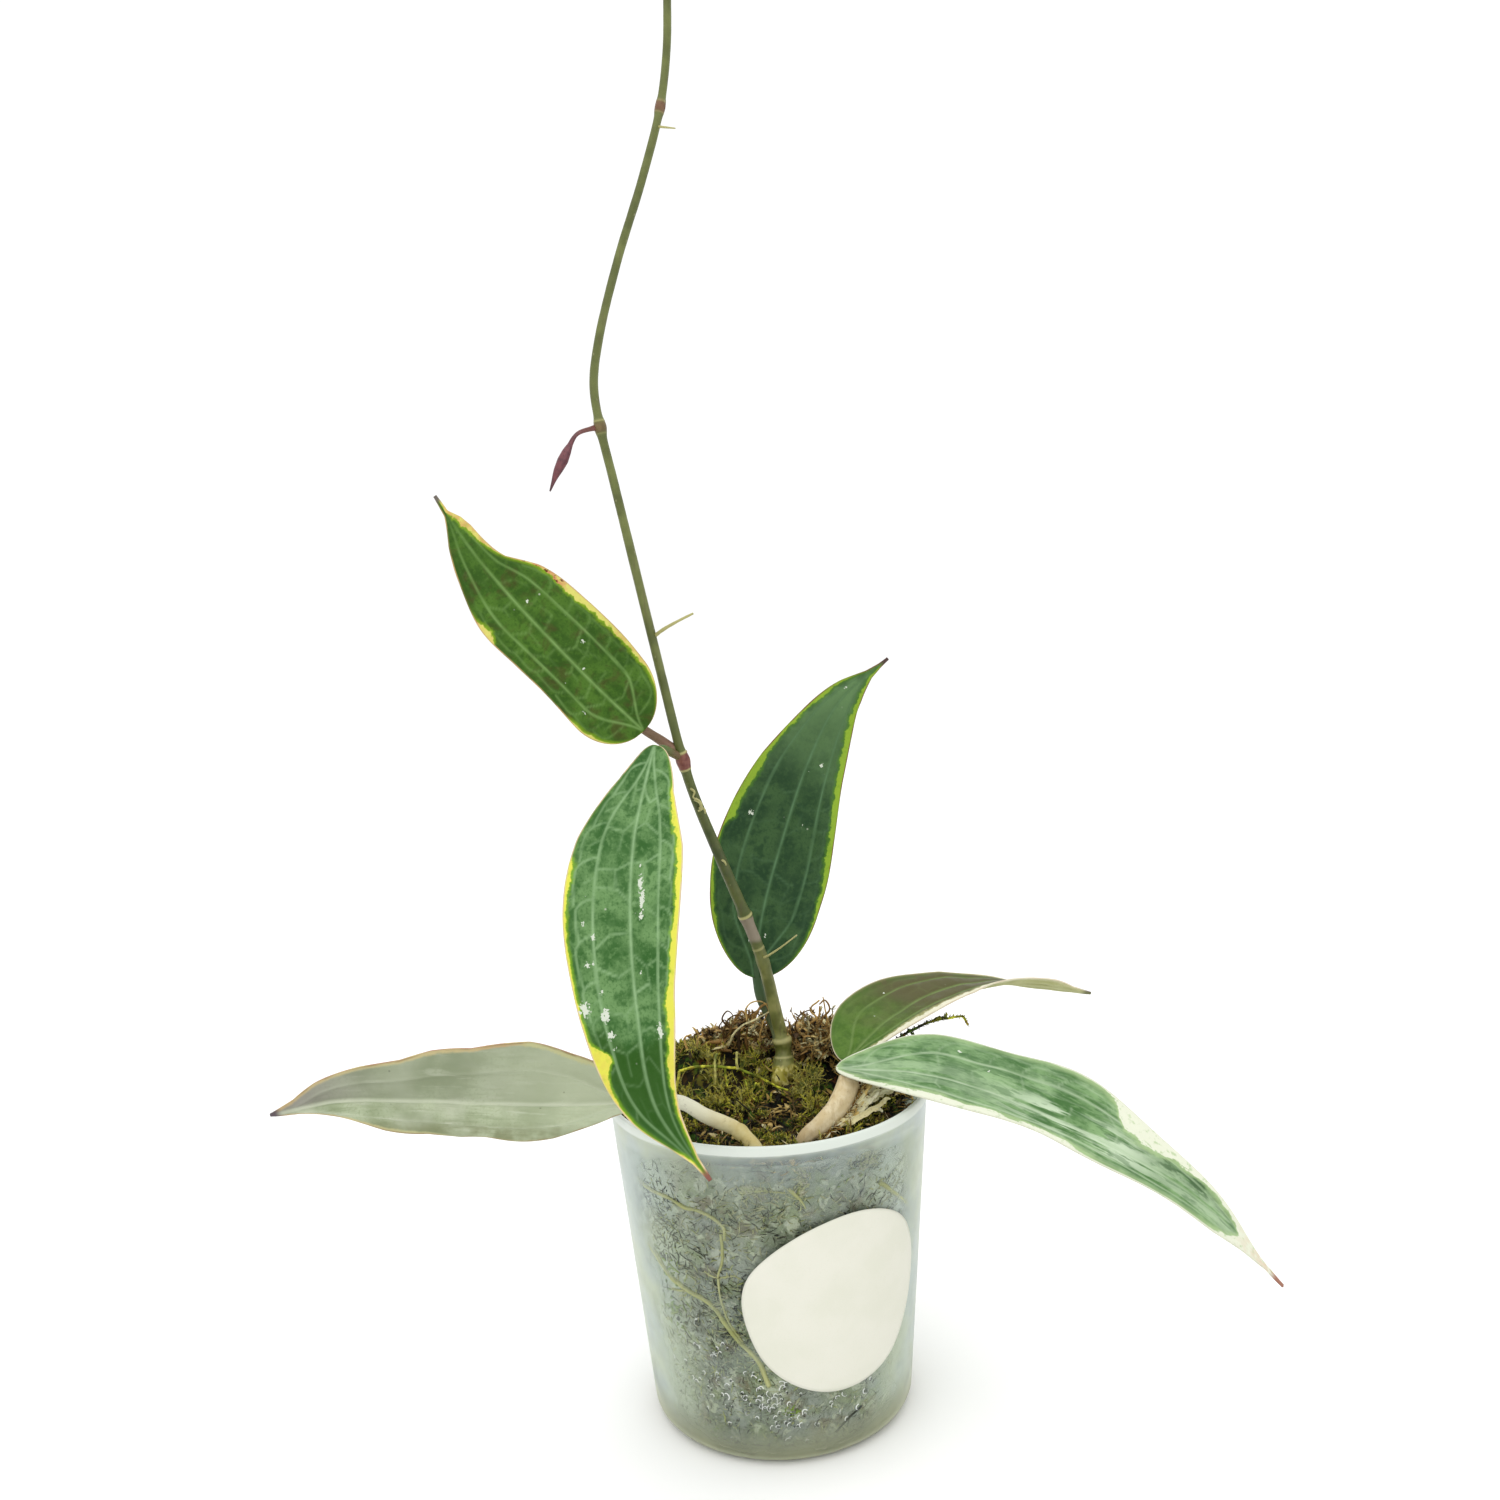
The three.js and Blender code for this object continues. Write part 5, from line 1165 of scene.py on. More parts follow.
def sprigs(batch, feet, directions, lengths, tone, r):
    """Moss shoots: bent stems with leaflets all round."""
    paths = bent_paths(feet, directions, lengths, 0.35, 4, r)
    tips = np.linspace(0, 1, 4)[None]
    strands(batch, paths, SHOOT_RADIUS * (1.1 - 0.6 * tips), tone=tone[:, None],
            tip=tips + 0 * tone[:, None])
    for k in range(LEAFLETS):
        s = (k + 0.7) / LEAFLETS
        place = s * 3
        i = min(int(place), 2)
        at = paths[:, i] + (place - i) * (paths[:, i + 1] - paths[:, i])
        along = unit(paths[:, i + 1] - paths[:, i])
        swing = r.normal(size=at.shape)
        swing = unit(swing - np.sum(swing * along, axis=1, keepdims=True) * along)
        reach = LEAFLET_LENGTH * r.uniform(0.7, 1.3, len(at)) * (1 - 0.35 * s)
        spikes(batch, at, unit(swing + (0.5 + 0.5 * s) * along), reach, 0.24 * reach, tone=tone,
               tip=s)


MOSS_LEVEL = 103.2
SHOOTS, STICKS, FLAKES = 2800, 1150, 600


def moss_height(x, y):
    rise = hills(x, y, [(-25, 24, 11, 11), (-3, 34, 11, 13), (22, 26, 10, 12), (10, 10, 6, 2.5)])
    tufts = np.sin(0.5 * x + 1.2 * np.sin(0.21 * y)) * np.sin(0.47 * y + 0.8)
    edge = np.maximum(np.hypot(x, y) - 42, 0)
    return MOSS_LEVEL + rise + tufts + 0.6 * np.sin(0.93 * x - 0.71 * y) - 0.25 * edge


def life(x, y):
    """How green the moss is, from 0 for dead litter to 1 for bright shoots."""
    alive = [(-20, 15, 9, 0.95), (14.5, 6.5, 5, 2.1), (-3, 24, 5, 0.7), (36, -8, 12, 0.22),
             (-8, 4, 8, 0.3), (6, -12, 12, 0.12), (-24, 4, 7, 0.4), (17, -5, 6, 0.3)]
    dead = [(18, 24, 9, 0.7), (-4, 33, 8, 0.6), (-16, 29, 6, 0.5), (24, 12, 5, 0.4),
            (0, -3, 5, 0.55), (5, -14, 5, 0.3), (36, -14, 4, 0.2)]
    return 0.16 + hills(x, y, alive) - hills(x, y, dead)


def clumps(x, y):
    """Where moss shoots stand in tufts (1) and where the ground between them shows (0)."""
    flat = np.stack([x, y, 0 * x], -1)
    return smooth(noise(flat, 5.4, 31) + 0.5 * noise(flat, 2.4, 32), -0.25, 0.4)


def moss_paint(name):
    p = Paint(name, 0.8, 0.25)
    tone = p.value("tone")
    base = p.ramp(tone, [(0.0, (20, 16, 6)), (0.15, (78, 58, 20)), (0.36, (146, 144, 38)),
                         (0.56, (218, 222, 56)), (0.78, (255, 250, 92)), (1.0, (255, 250, 150))])
    base = p.cover(base, (78, 122, 24), 0.5, 0.58, 6, 2, 0.7, move=(0.1, 0.3, 0))
    lit = p.times(p.step(p.value("tip"), 0.3, 1.0, 0.0, 0.8), p.step(tone, 0.1, 0.5, 0.2, 1))
    base = p.blend(lit, base, (246, 230, 84))
    # painted shade: near-black patches, strongest on the low-toned shoots, for the shade deep
    # between them
    gap_shade = p.times(p.step(p.noise(2.0, 4), 0.46, 0.54), p.step(tone, 0.45, 0.9, 0.92, 0.3))
    base = p.blend(gap_shade, base, (24, 20, 8))
    base = p.cover(base, (150, 84, 44), 0.6, 0.68, 3.4, 2, 0.5, move=(0.7, 0, 0.2))
    return p.coat(base, 0.5, 2, 0.05, 0.6)


def litter_paint(name, stops):
    p = Paint(name, 0.7, 0.3)
    base = p.ramp(p.value("tone"), stops)
    base = p.cover(base, (44, 26, 14), 0.48, 0.64, 0.9, 3, 0.5)
    return p.coat(base, 0.6, 3, 0.06, 0.7)


MOSS = moss_paint("moss_shoots")
LITTER = litter_paint("dead_litter", [
    (0.0, (28, 22, 10)), (0.3, (108, 86, 34)), (0.55, (176, 144, 70)), (0.75, (220, 190, 114)),
    (1.0, (248, 236, 186))])
CURLS = litter_paint("dead_curls", [
    (0.0, (30, 20, 10)), (0.3, (158, 118, 58)), (0.55, (226, 184, 108)), (0.75, (250, 222, 146)),
    (1.0, (255, 246, 190))])


def surface_points(r, count, weigh, reach=48.5):
    """Random points of the moss, denser where weigh is high."""
    found = np.empty((0, 2))
    while len(found) < count:
        turn = r.uniform(0, 2 * np.pi, 4 * count)
        radius = reach * np.sqrt(r.uniform(0, 1, 4 * count))
        xy = np.stack([radius * np.cos(turn), radius * np.sin(turn)], 1)
        found = np.vstack([found, xy[r.random(len(xy)) < weigh(xy[:, 0], xy[:, 1])]])
    xy = found[:count]
    return np.column_stack([xy, moss_height(xy[:, 0], xy[:, 1])])


def leaning(points, r, spread=0.7):
    """Directions away from the moss, tilted at random."""
    up = np.column_stack([points[:, :2] * 0.004, np.ones(len(points))])
    return unit(up + spread * r.normal(size=points.shape) * [1, 1, 0.35])


FLAKE = [0.15, 0.8, 1, 0.9, 0.6, 0.1]  # share of a flake's width along it


def scatter(batch, r, feet, flatness, lengths, sag, tone, widths, shape=FLAKE, **how):
    """Loose dead bits that lie about, each a bent closed strip."""
    count = len(feet)
    lie = unit(r.normal(size=feet.shape) * [1, 1, flatness])
    paths = bent_paths(feet, lie, r.uniform(*lengths, count), sag, len(shape), r)
    tone = np.clip(r.normal(*tone, count), 0, 1)
    radii = r.uniform(*widths, count)[:, None] * np.array(shape)[None]
    strands(batch, paths, radii, tone=tone[:, None], **how)


def shoot_share(x, y):
    """How densely shoots stand, with none at the foot of the vine."""
    share = np.clip(0.2 + life(x, y), 0.06, 1) * (0.05 + clumps(x, y))
    return share * (np.hypot(x - 6, y - 12.5) > 4.6) * (np.hypot(x - 4, y - 7.5) > 5)


def litter_share(x, y):
    return np.clip(0.75 - life(x, y), 0.1, 1)


def make_moss():
    r = draws(101)
    spokes, rings = 184, 84
    turn = circle(spokes)
    radius = (clear(MIX_TOP) - 1.6) * np.linspace(1 / rings, 1, rings)
    x, y = radius[:, None] * np.cos(turn), radius[:, None] * np.sin(turn)
    flat = np.stack([x, y, 0 * x], -1)
    rough = 1.5 * fractal(flat, 5, 3) + 0.7 * noise(flat, 1.3, 9)
    dip = hills(x, y, [(4.5, 8.5, 3.2, 2)])  # round the foot of the vine
    z = moss_height(x, y) + rough + 2.2 * clumps(x, y) - 3.2 - dip
    side = np.stack([x[-1], y[-1], np.full(spokes, MIX_TOP + GAP)], 1)[None]
    skin = np.vstack([np.stack([x, y, z], -1), side])
    # the bed's own dark tone, made darker still between the tufts as painted shade
    tone = np.clip(0.3 * life(x, y) + 0.08 * noise(flat, 3, 5) - 0.16 + 0.16 * clumps(x, y), 0,
                   0.45)
    tone = np.r_[tone.ravel(), tone[-1], tone[0, 0], 0.2]
    batch = Batch(inside=True)
    centre = [[0, 0, z[0].mean()], [0, 0, MIX_TOP + GAP]]
    body(batch, skin, centre, flip=True, tone=tone, tip=0.0)
    batch.build("moss_bed", MOSS, "moss_mat")

    batch = Batch(inside=True)
    feet = surface_points(r, SHOOTS, shoot_share)
    green = life(feet[:, 0], feet[:, 1])
    lush = np.clip(green, 0, 1)
    tuft = clumps(feet[:, 0], feet[:, 1])
    # shoots in the tufts lighter and those between them darker: painted light on the tufts and
    # painted shade between them, with random tone on top
    tone = np.clip(green + 0.6 * (tuft - 0.55) + r.normal(0.14, 0.34, len(feet)), 0.02, 1)
    lengths = r.uniform(1.4, 2.8, len(feet)) + 2.4 * lush * r.random(len(feet))
    feet[:, 2] += 2.4 * tuft - 2.2
    by_foot = np.hypot(feet[:, 0] - 4, feet[:, 1] - 5.5)
    lengths = (lengths + 0.8) * (0.35 + 0.65 * smooth(by_foot, 4, 10))
    sprigs(batch, feet, leaning(feet, r), lengths, tone, r)
    batch.build("moss_shoots", MOSS, "moss_mat")

    batch = Batch(inside=True)
    feet = surface_points(r, STICKS, litter_share)
    feet[:, 2] += r.uniform(-0.5, 0.8, len(feet))
    scatter(batch, r, feet, 0.35, (2, 6), 0.5, (0.36, 0.3), (0.14, 0.34),
            [0.5, 0.9, 1, 0.9, 0.7, 0.3], sides=4)
    feet = surface_points(r, FLAKES, litter_share)
    feet[:, 2] += r.uniform(-0.2, 0.8, len(feet))
    scatter(batch, r, feet, 0.3, (1.5, 4), 0.6, (0.5, 0.28), (0.5, 1.1), sides=5, thin=0.22)
    batch.build("moss_litter", LITTER, "moss_mat")


SPRAYS = {
    "moss_spray_left": dict(foot=(-18, 28), reach=9, rise=4, twigs=70, flakes=110, seed=11,
                            tone=0.42),
    "moss_spray_back": dict(foot=(-5, 29), reach=10, rise=8, twigs=60, flakes=70, seed=5,
                            tone=0.44),
    "moss_spray_right": dict(foot=(16.5, 22.5), reach=8, rise=13, twigs=90, flakes=280, seed=23,
                             tone=0.5),
}


def make_sprays():
    for name, plan in SPRAYS.items():
        r = draws(plan["seed"])
        batch = Batch()

        def feet_for(count, share):
            turn = r.uniform(0, 2 * np.pi, count)
            far = plan["reach"] * share * np.sqrt(r.random(count))
            x, y = plan["foot"][0] + far * np.cos(turn), plan["foot"][1] + far * np.sin(turn)
            return np.column_stack([x, y, moss_height(x, y) - 0.5]), far / plan["reach"]

        feet, far = feet_for(plan["twigs"], 0.8)
        count = len(feet)
        up = np.column_stack([0.09 * (feet[:, :2] - plan["foot"]), np.ones(count)])
        up = unit(up + 0.45 * r.normal(size=feet.shape) * [1, 1, 0.4])
        lengths = plan["rise"] * r.uniform(0.35, 1.2, count) * (1.15 - 0.5 * far)
        paths = bent_paths(feet, up, lengths, 0.35, 9, r)
        s = np.linspace(0, 1, 9)[None, :, None]
        wave = r.normal(size=(count, 1, 3))
        paths = paths + 0.05 * lengths[:, None, None] * wave * np.sin(2 * np.pi * s * 1.4)
        paths[:, 1:] += 0.35 * r.normal(size=paths[:, 1:].shape)
        shape = np.linspace(1, 0.45, 9)[None]
        tone = np.clip(r.normal(plan["tone"], 0.28, count), 0, 1)
        strands(batch, paths, r.uniform(0.24, 0.62, count)[:, None] * shape, sides=4,
                tone=tone[:, None])
        for k in (2, 3, 5, 6, 7):
            tips = unit(paths[:, k + 1] - paths[:, k])
            for _ in range(3):
                way = unit(tips + 1.2 * r.normal(size=tips.shape))
                size = r.uniform(0.9, 2.6, count)
                spikes(batch, paths[:, k], way, size, 0.3 * size, tone=np.clip(tone + 0.14, 0, 1))
        feet, far = feet_for(plan["flakes"], 0.9)
        feet[:, 2] += plan["rise"] * 0.75 * r.random(len(feet)) * (1 - 0.7 * far)
        scatter(batch, r, feet, 1, (2, 5.2), 0.7, (plan["tone"] + 0.08, 0.34), (0.6, 1.6),
                sides=5, thin=0.3)
        for course, radius, shade in FILAMENTS[name]:
            line = Course(course)
            t = np.linspace(0, 1, 40)
            points = line.at(t)
            radii = radius * (1.15 - 0.5 * t) * (1 + 0.2 * noise(points, 1.6, 4))
            tube(batch, points + 0.25 * jitter(points, 2.2, 1), radii, sides=7, tone=shade)
        batch.build(name + "_twigs", CURLS, name)


# Courses, radius and tone of the long curled threads on the sprays
FILAMENTS = {
    "moss_spray_back": [
        ([[-13, 22, 115], [-11, 19, 120], [-8, 17, 123.5], [-3, 16.5, 126], [2, 17.5, 128]], 0.4,
         0.97),
        ([[-6, 18, 125], [-6, 17.5, 129.5], [-3, 17.5, 132], [0.5, 18, 131], [2, 18.5, 127.5]], 0.3,
         0.6),
        ([[-14, 24, 115], [-14, 21, 121], [-12, 18.5, 126], [-9, 18, 127.5], [-6, 18, 126],
          [-5, 18, 129]], 0.3, 0.12),
        ([[-16, 25, 116], [-12, 21, 120], [-11, 19, 124], [-7, 18, 125], [-4, 18, 127.6]], 0.3,
         0.2),
        ([[-9.4, 22, 112], [-9.2, 21, 118], [-8.6, 20.4, 123.6]], 0.75, 0.04),
        ([[-6.4, 22, 113], [-6.6, 21, 118], [-6, 20, 122]], 0.5, 0.2),
        ([[-2, 20, 117], [-1, 18, 123], [1, 18, 127], [3, 18.5, 130]], 0.3, 0.5),
        ([[-15, 23, 116], [-13, 22, 119.6], [-15.6, 21, 122.4], [-13.6, 21, 124.6],
          [-12.2, 21, 123]], 0.3, 0.1),
        ([[-12, 21, 122], [-14.4, 20, 125.4], [-12.4, 19.6, 128.4], [-10.6, 19.6, 126.4]], 0.32,
         0.12),
        ([[-10, 19, 125.4], [-7.6, 18.4, 128.6], [-5.4, 18.2, 126.6], [-3, 18, 127.4]], 0.45, 0.32),
        ([[-4, 18.6, 124], [-1.6, 18.2, 129], [1.2, 18.4, 130.6], [3.4, 18.8, 128.4]], 0.5, 0.36),
    ],
    "moss_spray_right": [
        ([[17, 22, 116], [18, 20, 123], [16, 19, 128], [19, 18, 131]], 0.4, 0.55),
        ([[12, 22, 116], [10.5, 20, 122], [12.5, 19, 126], [16, 19, 127.5]], 0.32, 0.14),
        ([[21, 22, 115], [21.5, 21, 123], [20.5, 20, 131.5]], 0.35, 0.6),
        ([[10, 20, 114], [8.5, 19, 119], [8.4, 18.5, 123.5]], 0.4, 0.3),
        ([[18, 21, 118], [20, 20, 124], [22.5, 19.6, 127], [21, 19, 130.6], [19, 19, 129.4]], 0.4,
         0.3),
        ([[14, 21, 117], [15.6, 20, 122], [18.6, 19.6, 124.6], [19.2, 19.4, 128.6]], 0.45, 0.42),
    ],
    "moss_spray_left": [
        ([[-24, 22, 113], [-20.6, 21, 116.6], [-15.4, 20, 117.4]], 0.9, 0.3),
        ([[-22, 21, 111.6], [-16, 20, 114.6], [-11.6, 19.6, 114]], 0.8, 0.22),
        ([[-27, 20, 115], [-27.6, 20, 119.4], [-25.4, 20, 120.6]], 0.4, 0.55),
        ([[-24, 20, 116], [-22.4, 19.4, 119.6], [-20.6, 19.6, 119]], 0.4, 0.62),
    ],
}


def make_runner():
    r = draws(61)

    def over(x, y, lift):
        return [x, y, float(moss_height(x, y)) + lift]

    courses = [
        ([[-29.5, 7, 112.6], [-23, 8.2, 113.4], [-15.8, 9, 112.6], [-10, 9, 111.6],
          [-5.2, 8.6, 109.6]], 0.5, 0.45, 0.7),
        ([[-5.4, 8.6, 109.6], [-1, 7.6, 107.8], [2.8, 6, 105.8], [7, 3.6, 105.2]], 0.5, 0.34, 0.62),
        ([[-29.5, 7, 112.6], over(-31, 5, 1), over(-32, 3, -1)], 0.5, 0.5, 0.8),
        ([[-14, 9, 112.4], over(-14, 9.6, 1), over(-14, 10, -2)], 0.4, 0.4, 0.8),
        ([over(-4, 7, 2.2), over(-6, 2, 2.2), over(-4, -4, 2)], 0.45, 0.3, 0.72),
        ([[-17.8, 7.4, 107], [-17.4, 7.8, 112.6], [-16.9, 8, 117.2], [-16.2, 8, 117.6]], 0.5, 0.4,
         1.0),
        ([[-10.1, 8.4, 111.6], [-10, 8, 115], [-9.8, 8, 117.9]], 0.45, 0.4, 1.0),
        ([over(-3.5, 7, 2.2), over(-3, 6.8, 0), over(-3, 6.6, -4)], 0.7, 0.6, 0.7),
        ([over(-13.5, 8.2, 2.6), over(-13.8, 7, 1.6), over(-13.4, 5.6, 1.2)], 0.4, 0.3, 0.75),
        ([over(-7.5, 7.4, 2.4), over(-7, 5, 1.8), over(-7.6, 2.6, 1)], 0.4, 0.3, 0.7),
    ]
    batch = Batch()
    for course, start, end, tone in courses:
        line = Course(course)
        t = np.linspace(0, 1, 34)
        points = line.at(t)
        points = points + 0.18 * jitter(points, 2.4, 4)
        tube(batch, points, start + (end - start) * t, sides=8, tone=tone, tip=0.35 * (tone > 0.9))
        count = int(line.length * 3)
        at = line.at(r.random(count))
        ways = unit(r.normal(size=at.shape) + line.along(r.random(count)))
        size = r.uniform(0.5, 1.1, count)
        if tone < 0.95:
            spikes(batch, at, ways, size, 0.25 * size, tone=tone, tip=0.5)
    batch.build("moss_runner_shoot", MOSS, "moss_runner")


def make_strand():
    r = draws(71)
    courses = [
        ([[38, 15, 99], [38.5, 16, 106], [42, 18, 113], [47.2, 20, 116.4], [55.3, 24, 118.5],
          [62.5, 26, 119.4], [69, 28, 118.8], [70.8, 28, 116]], 0.6, 0.4),
        ([[50, 21.5, 117], [52, 20, 114.6], [55, 19.5, 113.6]], 0.4, 0.3),
        ([[58, 25, 119], [60, 23, 121], [63, 22, 121.6]], 0.4, 0.3),
    ]
    batch = Batch()
    for course, start, end in courses:
        line = Course(course)
        t = np.linspace(0, 1, 60)
        points = line.at(t)
        points = points + 0.3 * jitter(points, 2.6, 7)
        tone = 0.12 + 0.5 * smooth(points[:, 0], 52, 66)
        tube(batch, points, start + (end - start) * t, sides=8, tone=tone, tip=0.1)
        count = int(line.length * 5)
        s = 0.25 + 0.75 * r.random(count)
        at = line.at(s)
        ways = unit(r.normal(size=at.shape) + 0.6 * line.along(s))
        size = r.uniform(0.7, 1.9, count)
        tone = np.clip(0.1 + 0.6 * smooth(at[:, 0], 50, 64) + r.normal(0, 0.1, count), 0, 1)
        spikes(batch, at, ways, size, 0.26 * size, tone=tone, tip=0.2)
    batch.build("moss_strand_twig", MOSS, "moss_strand")


make_moss()
make_sprays()
make_runner()
make_strand()

# ---------------------------------------------------------------- filling seen through the wall


LOOSE_FLECKS = 3400
CLEAR_ALPHA = 0.12  # what shows of a drop between its painted highlight arc and its painted dark edge


def around(r, spots, loose=0):
    """Random turns and heights on the wall, round spots and loose all over.

    A spot has a turn, a height, the spread of each and a count.
    """
    turns = [r.normal(a, s, n) for a, _, s, _, n in spots] + [r.uniform(-180, 180, loose)]
    levels = [r.normal(b, s, n) for _, b, _, s, n in spots] + [r.uniform(4, 102, loose)]
    return np.concatenate(turns), np.concatenate(levels)


def make_mix():
    r = draws(131)
    batch = Batch()
    heights = np.linspace(CORNER + 1, 102, 92)
    side = [(BASE_RADIUS - CORNER, FLOOR + GAP), (clear(CORNER) - 1.8, FLOOR + GAP + 1.8)]
    side += [(float(clear(z)) - 0.25, z) for z in heights]
    profile = [(0, FLOOR + GAP), (20, FLOOR + GAP), *side, (47, 101.6), (44, 98), (30, 96), (0, 96)]

    def rough(skin):
        depth = 0.25 + 0.5 * np.clip(fractal(skin, 6, 2) + 0.2, 0, 1.5)
        out = np.hypot(skin[..., 0], skin[..., 1])
        share = np.where(out > 45, 1 - depth / out, 1)
        skin[..., :2] *= share[..., None]
        return skin

    lathe(batch, profile, 184, rough)
    p = Paint("mix_body", 0.75, 0.3)
    base = p.cover((132, 146, 112), (158, 168, 154), 0.38, 0.6, 17, 3, twist=0.6)
    base = p.cover(base, (146, 162, 118), 0.52, 0.62, 11, 3, move=(0.2, 0, 0))
    base = p.cover(base, (128, 114, 84), 0.54, 0.64, 8, 4, 0.7, move=(0, 0.3, 0.1))
    base = p.cover(base, (84, 90, 66), 0.53, 0.62, 3.2, 5, 0.5, twist=0.4)
    base = p.cover(base, (208, 218, 186), 0.55, 0.64, 3.6, 4, 0.75, move=(0.5, 0.2, 0), twist=0.8)
    base = p.cover(base, (208, 216, 196), 0.58, 0.68, 9, 3, 0.7, move=(0.8, 0.1, 0.3))
    base = p.cover(base, (54, 56, 44), 0.57, 0.63, 0.9, 3, 0.4)
    base = p.cover(base, (222, 228, 206), 0.6, 0.66, 0.8, 3, 0.4, move=(0.3, 0, 0.6))
    base = p.blend(p.step(p.height(), 0.07, 0.1, 0, 0.2), base, (186, 196, 190))
    # painted light: paler towards the left and right as the camera sees the pot, for the frosted
    # wall's whiter look where it is seen at a slant
    sideways = p.maths("ABSOLUTE", p.node("SeparateXYZ", {0: p.place}, output="X"))
    base = p.blend(p.step(sideways, 0.022, 0.038, 0, 0.8), base, (212, 226, 204))
    low = p.maths("ADD", p.height(), p.times(p.noise(9, 3), 0.012))
    base = p.blend(p.step(low, 0.009, 0.02, 0.6, 0), base, (190, 190, 146))
    batch.build("mix_core", p.coat(base, 1.4, 4, 0.5, 0.8), "potting_mix")

    batch = Batch()
    spots = [(-48, 78, 14, 9, 480), (50, 80, 18, 12, 460), (-20, 30, 22, 16, 900),
             (-24, 52, 12, 12, 460), (-6, 86, 9, 7, 240), (10, 98, 1.4, 3.4, 70),
             (36, 99, 3.5, 1.8, 80), (-8, 95.4, 2.6, 0.9, 50)]
    turns, levels = around(r, spots, LOOSE_FLECKS)
    levels = np.clip(levels, 6.5, 101.5)
    n = len(turns)
    lean = r.normal(0, 1, n)
    lengths = r.uniform(0.7, 2.9, n) * np.where(r.random(n) < 0.1, 1.9, 1)
    s = np.linspace(-0.5, 0.5, 3)[None]
    bow = r.normal(0, 0.25, n)[:, None] * (s**2)
    slope = lean[:, None]
    along = lengths[:, None] * (s * np.cos(slope) - bow * np.sin(slope))
    rise = lengths[:, None] * (s * np.sin(slope) + bow * np.cos(slope))
    paths = at_wall(turns[:, None] + np.degrees(along / 47),
                    np.clip(levels[:, None] + rise, 6, 102), -0.25)

    def near(a, b, wide, high):
        return np.exp(-0.5 * ((turns - a) / wide) ** 2 - 0.5 * ((levels - b) / high) ** 2)

    mossy = near(-49, 61, 5, 4) + 0.8 * near(-47, 47, 4, 6) + 0.8 * near(25, 96, 4, 2)
    mossy = mossy + 0.7 * near(-38, 5, 9, 3) + 0.7 * near(4, 18, 3, 2.5) + 0.6 * near(49, 24, 5, 4)
    pick = r.random(n)
    dark, middling, pale = [r.uniform(a, b, n) for a, b in ((0.0, 0.2), (0.3, 0.5), (0.75, 0.95))]
    tone = np.where(pick < 0.5, dark, np.where(pick < 0.8, middling, pale))
    tone = np.where(r.random(n) < mossy, r.uniform(0.52, 0.68, n), tone)
    bright = near(10, 98, 1.8, 4) + near(36, 99, 4.5, 2.4) + near(-8, 95.4, 3, 1.2)
    tone = np.where(r.random(n) < bright, r.uniform(0.8, 1.0, n), tone)
    tone = np.where((tone < 0.5) & (r.random(n) < 0.65 * near(2, 92, 18, 8)), 0.9, tone)
    thick = r.uniform(0.07, 0.21, n) * np.where(tone > 0.5, 1.8, 1)
    thick = thick * (1 + 0.9 * bright + 0.9 * mossy)
    strands(batch, paths, thick[:, None] * np.array([0.5, 1.1, 0.4])[None], sides=3,
            tone=tone[:, None])
    twigs = [([21.6, 27.2, 34.7], [8.4, 11.6, 14.4], 0.42), ([-79, -78, -77], [36, 32, 28], 0.5),
             ([-52, -51], [12.4, 11.8], 0.5), ([26, 28], [84, 80], 0.3)]
    for twig_turns, twig_levels, thick in twigs:
        twig = Course(at_wall(twig_turns, twig_levels, -0.3))
        tube(batch, twig.at(np.linspace(0, 1, 24)), thick, sides=8, tone=0.02)
    p = Paint("mix_flecks", 0.7, 0.3)
    base = p.ramp(p.value("tone"),
                  [(0.0, (26, 28, 22)), (0.22, (58, 58, 42)), (0.4, (92, 90, 58)),
                   (0.5, (104, 122, 52)), (0.6, (140, 176, 50)), (0.72, (178, 192, 104)),
                   (1.0, (206, 204, 176))])
    base = p.cover(base, (60, 56, 40), 0.5, 0.7, 0.9, 2, 0.4)
    batch.build("mix_flecks", p.coat(base, 0.5, 2, 0.05, 0.5), "potting_mix")

    batch = Batch()
    spots = [(-4, 22, 5, 3.5, 34), (-24, 25, 12, 7, 36), (30, 20, 7, 3.5, 16), (-36, 36, 9, 6, 20),
             (6, 13, 14, 4, 16), (150, 30, 40, 10, 60), (-120, 34, 30, 10, 46)]
    turns, levels = around(r, spots)
    levels = np.clip(levels, 7.5, 60)
    sizes = r.uniform(0.45, 1.1, len(turns)) * r.uniform(0.8, 1.3, len(turns))
    rows, sides = 6, 14
    for turn, level, size in zip(turns, levels, sizes):
        middle = at_wall(turn, level, -0.1 - 0.3 * size)
        out = unit(middle * [1, 1, 0])
        across, rise = np.array([-out[1], out[0], 0]), np.array([0, 0, 1.0])
        bend = np.linspace(0.08, 0.5, rows)[:, None, None] * np.pi
        round_ = circle(sides)[None, :, None]
        lump = 1 + 0.12 * np.sin(2 * round_ + 9 * size) + 0.08 * np.sin(3 * round_ + 21 * size)
        outline = np.cos(round_) * across + 1.15 * np.sin(round_) * rise
        skin = middle + size * (lump * np.sin(bend) * outline + 0.5 * np.cos(bend) * out)
        # where on its rim each drop carries its painted highlight
        lit = 0.5 + 0.5 * np.cos(np.tile(circle(sides), rows) - r.normal(2.4, 0.9))
        body(batch, skin, [middle + 0.51 * size * out, middle], flip=True,
             lit=np.r_[lit, 0.5, 0.5], out=np.r_[np.repeat(np.arange(rows) / 5, sides), 0, 1])
    p = Paint("droplets", 0.08, 0.6, IOR=1.33)
    out, lit = p.value("out"), p.step(p.value("lit"), 0.35, 0.6)
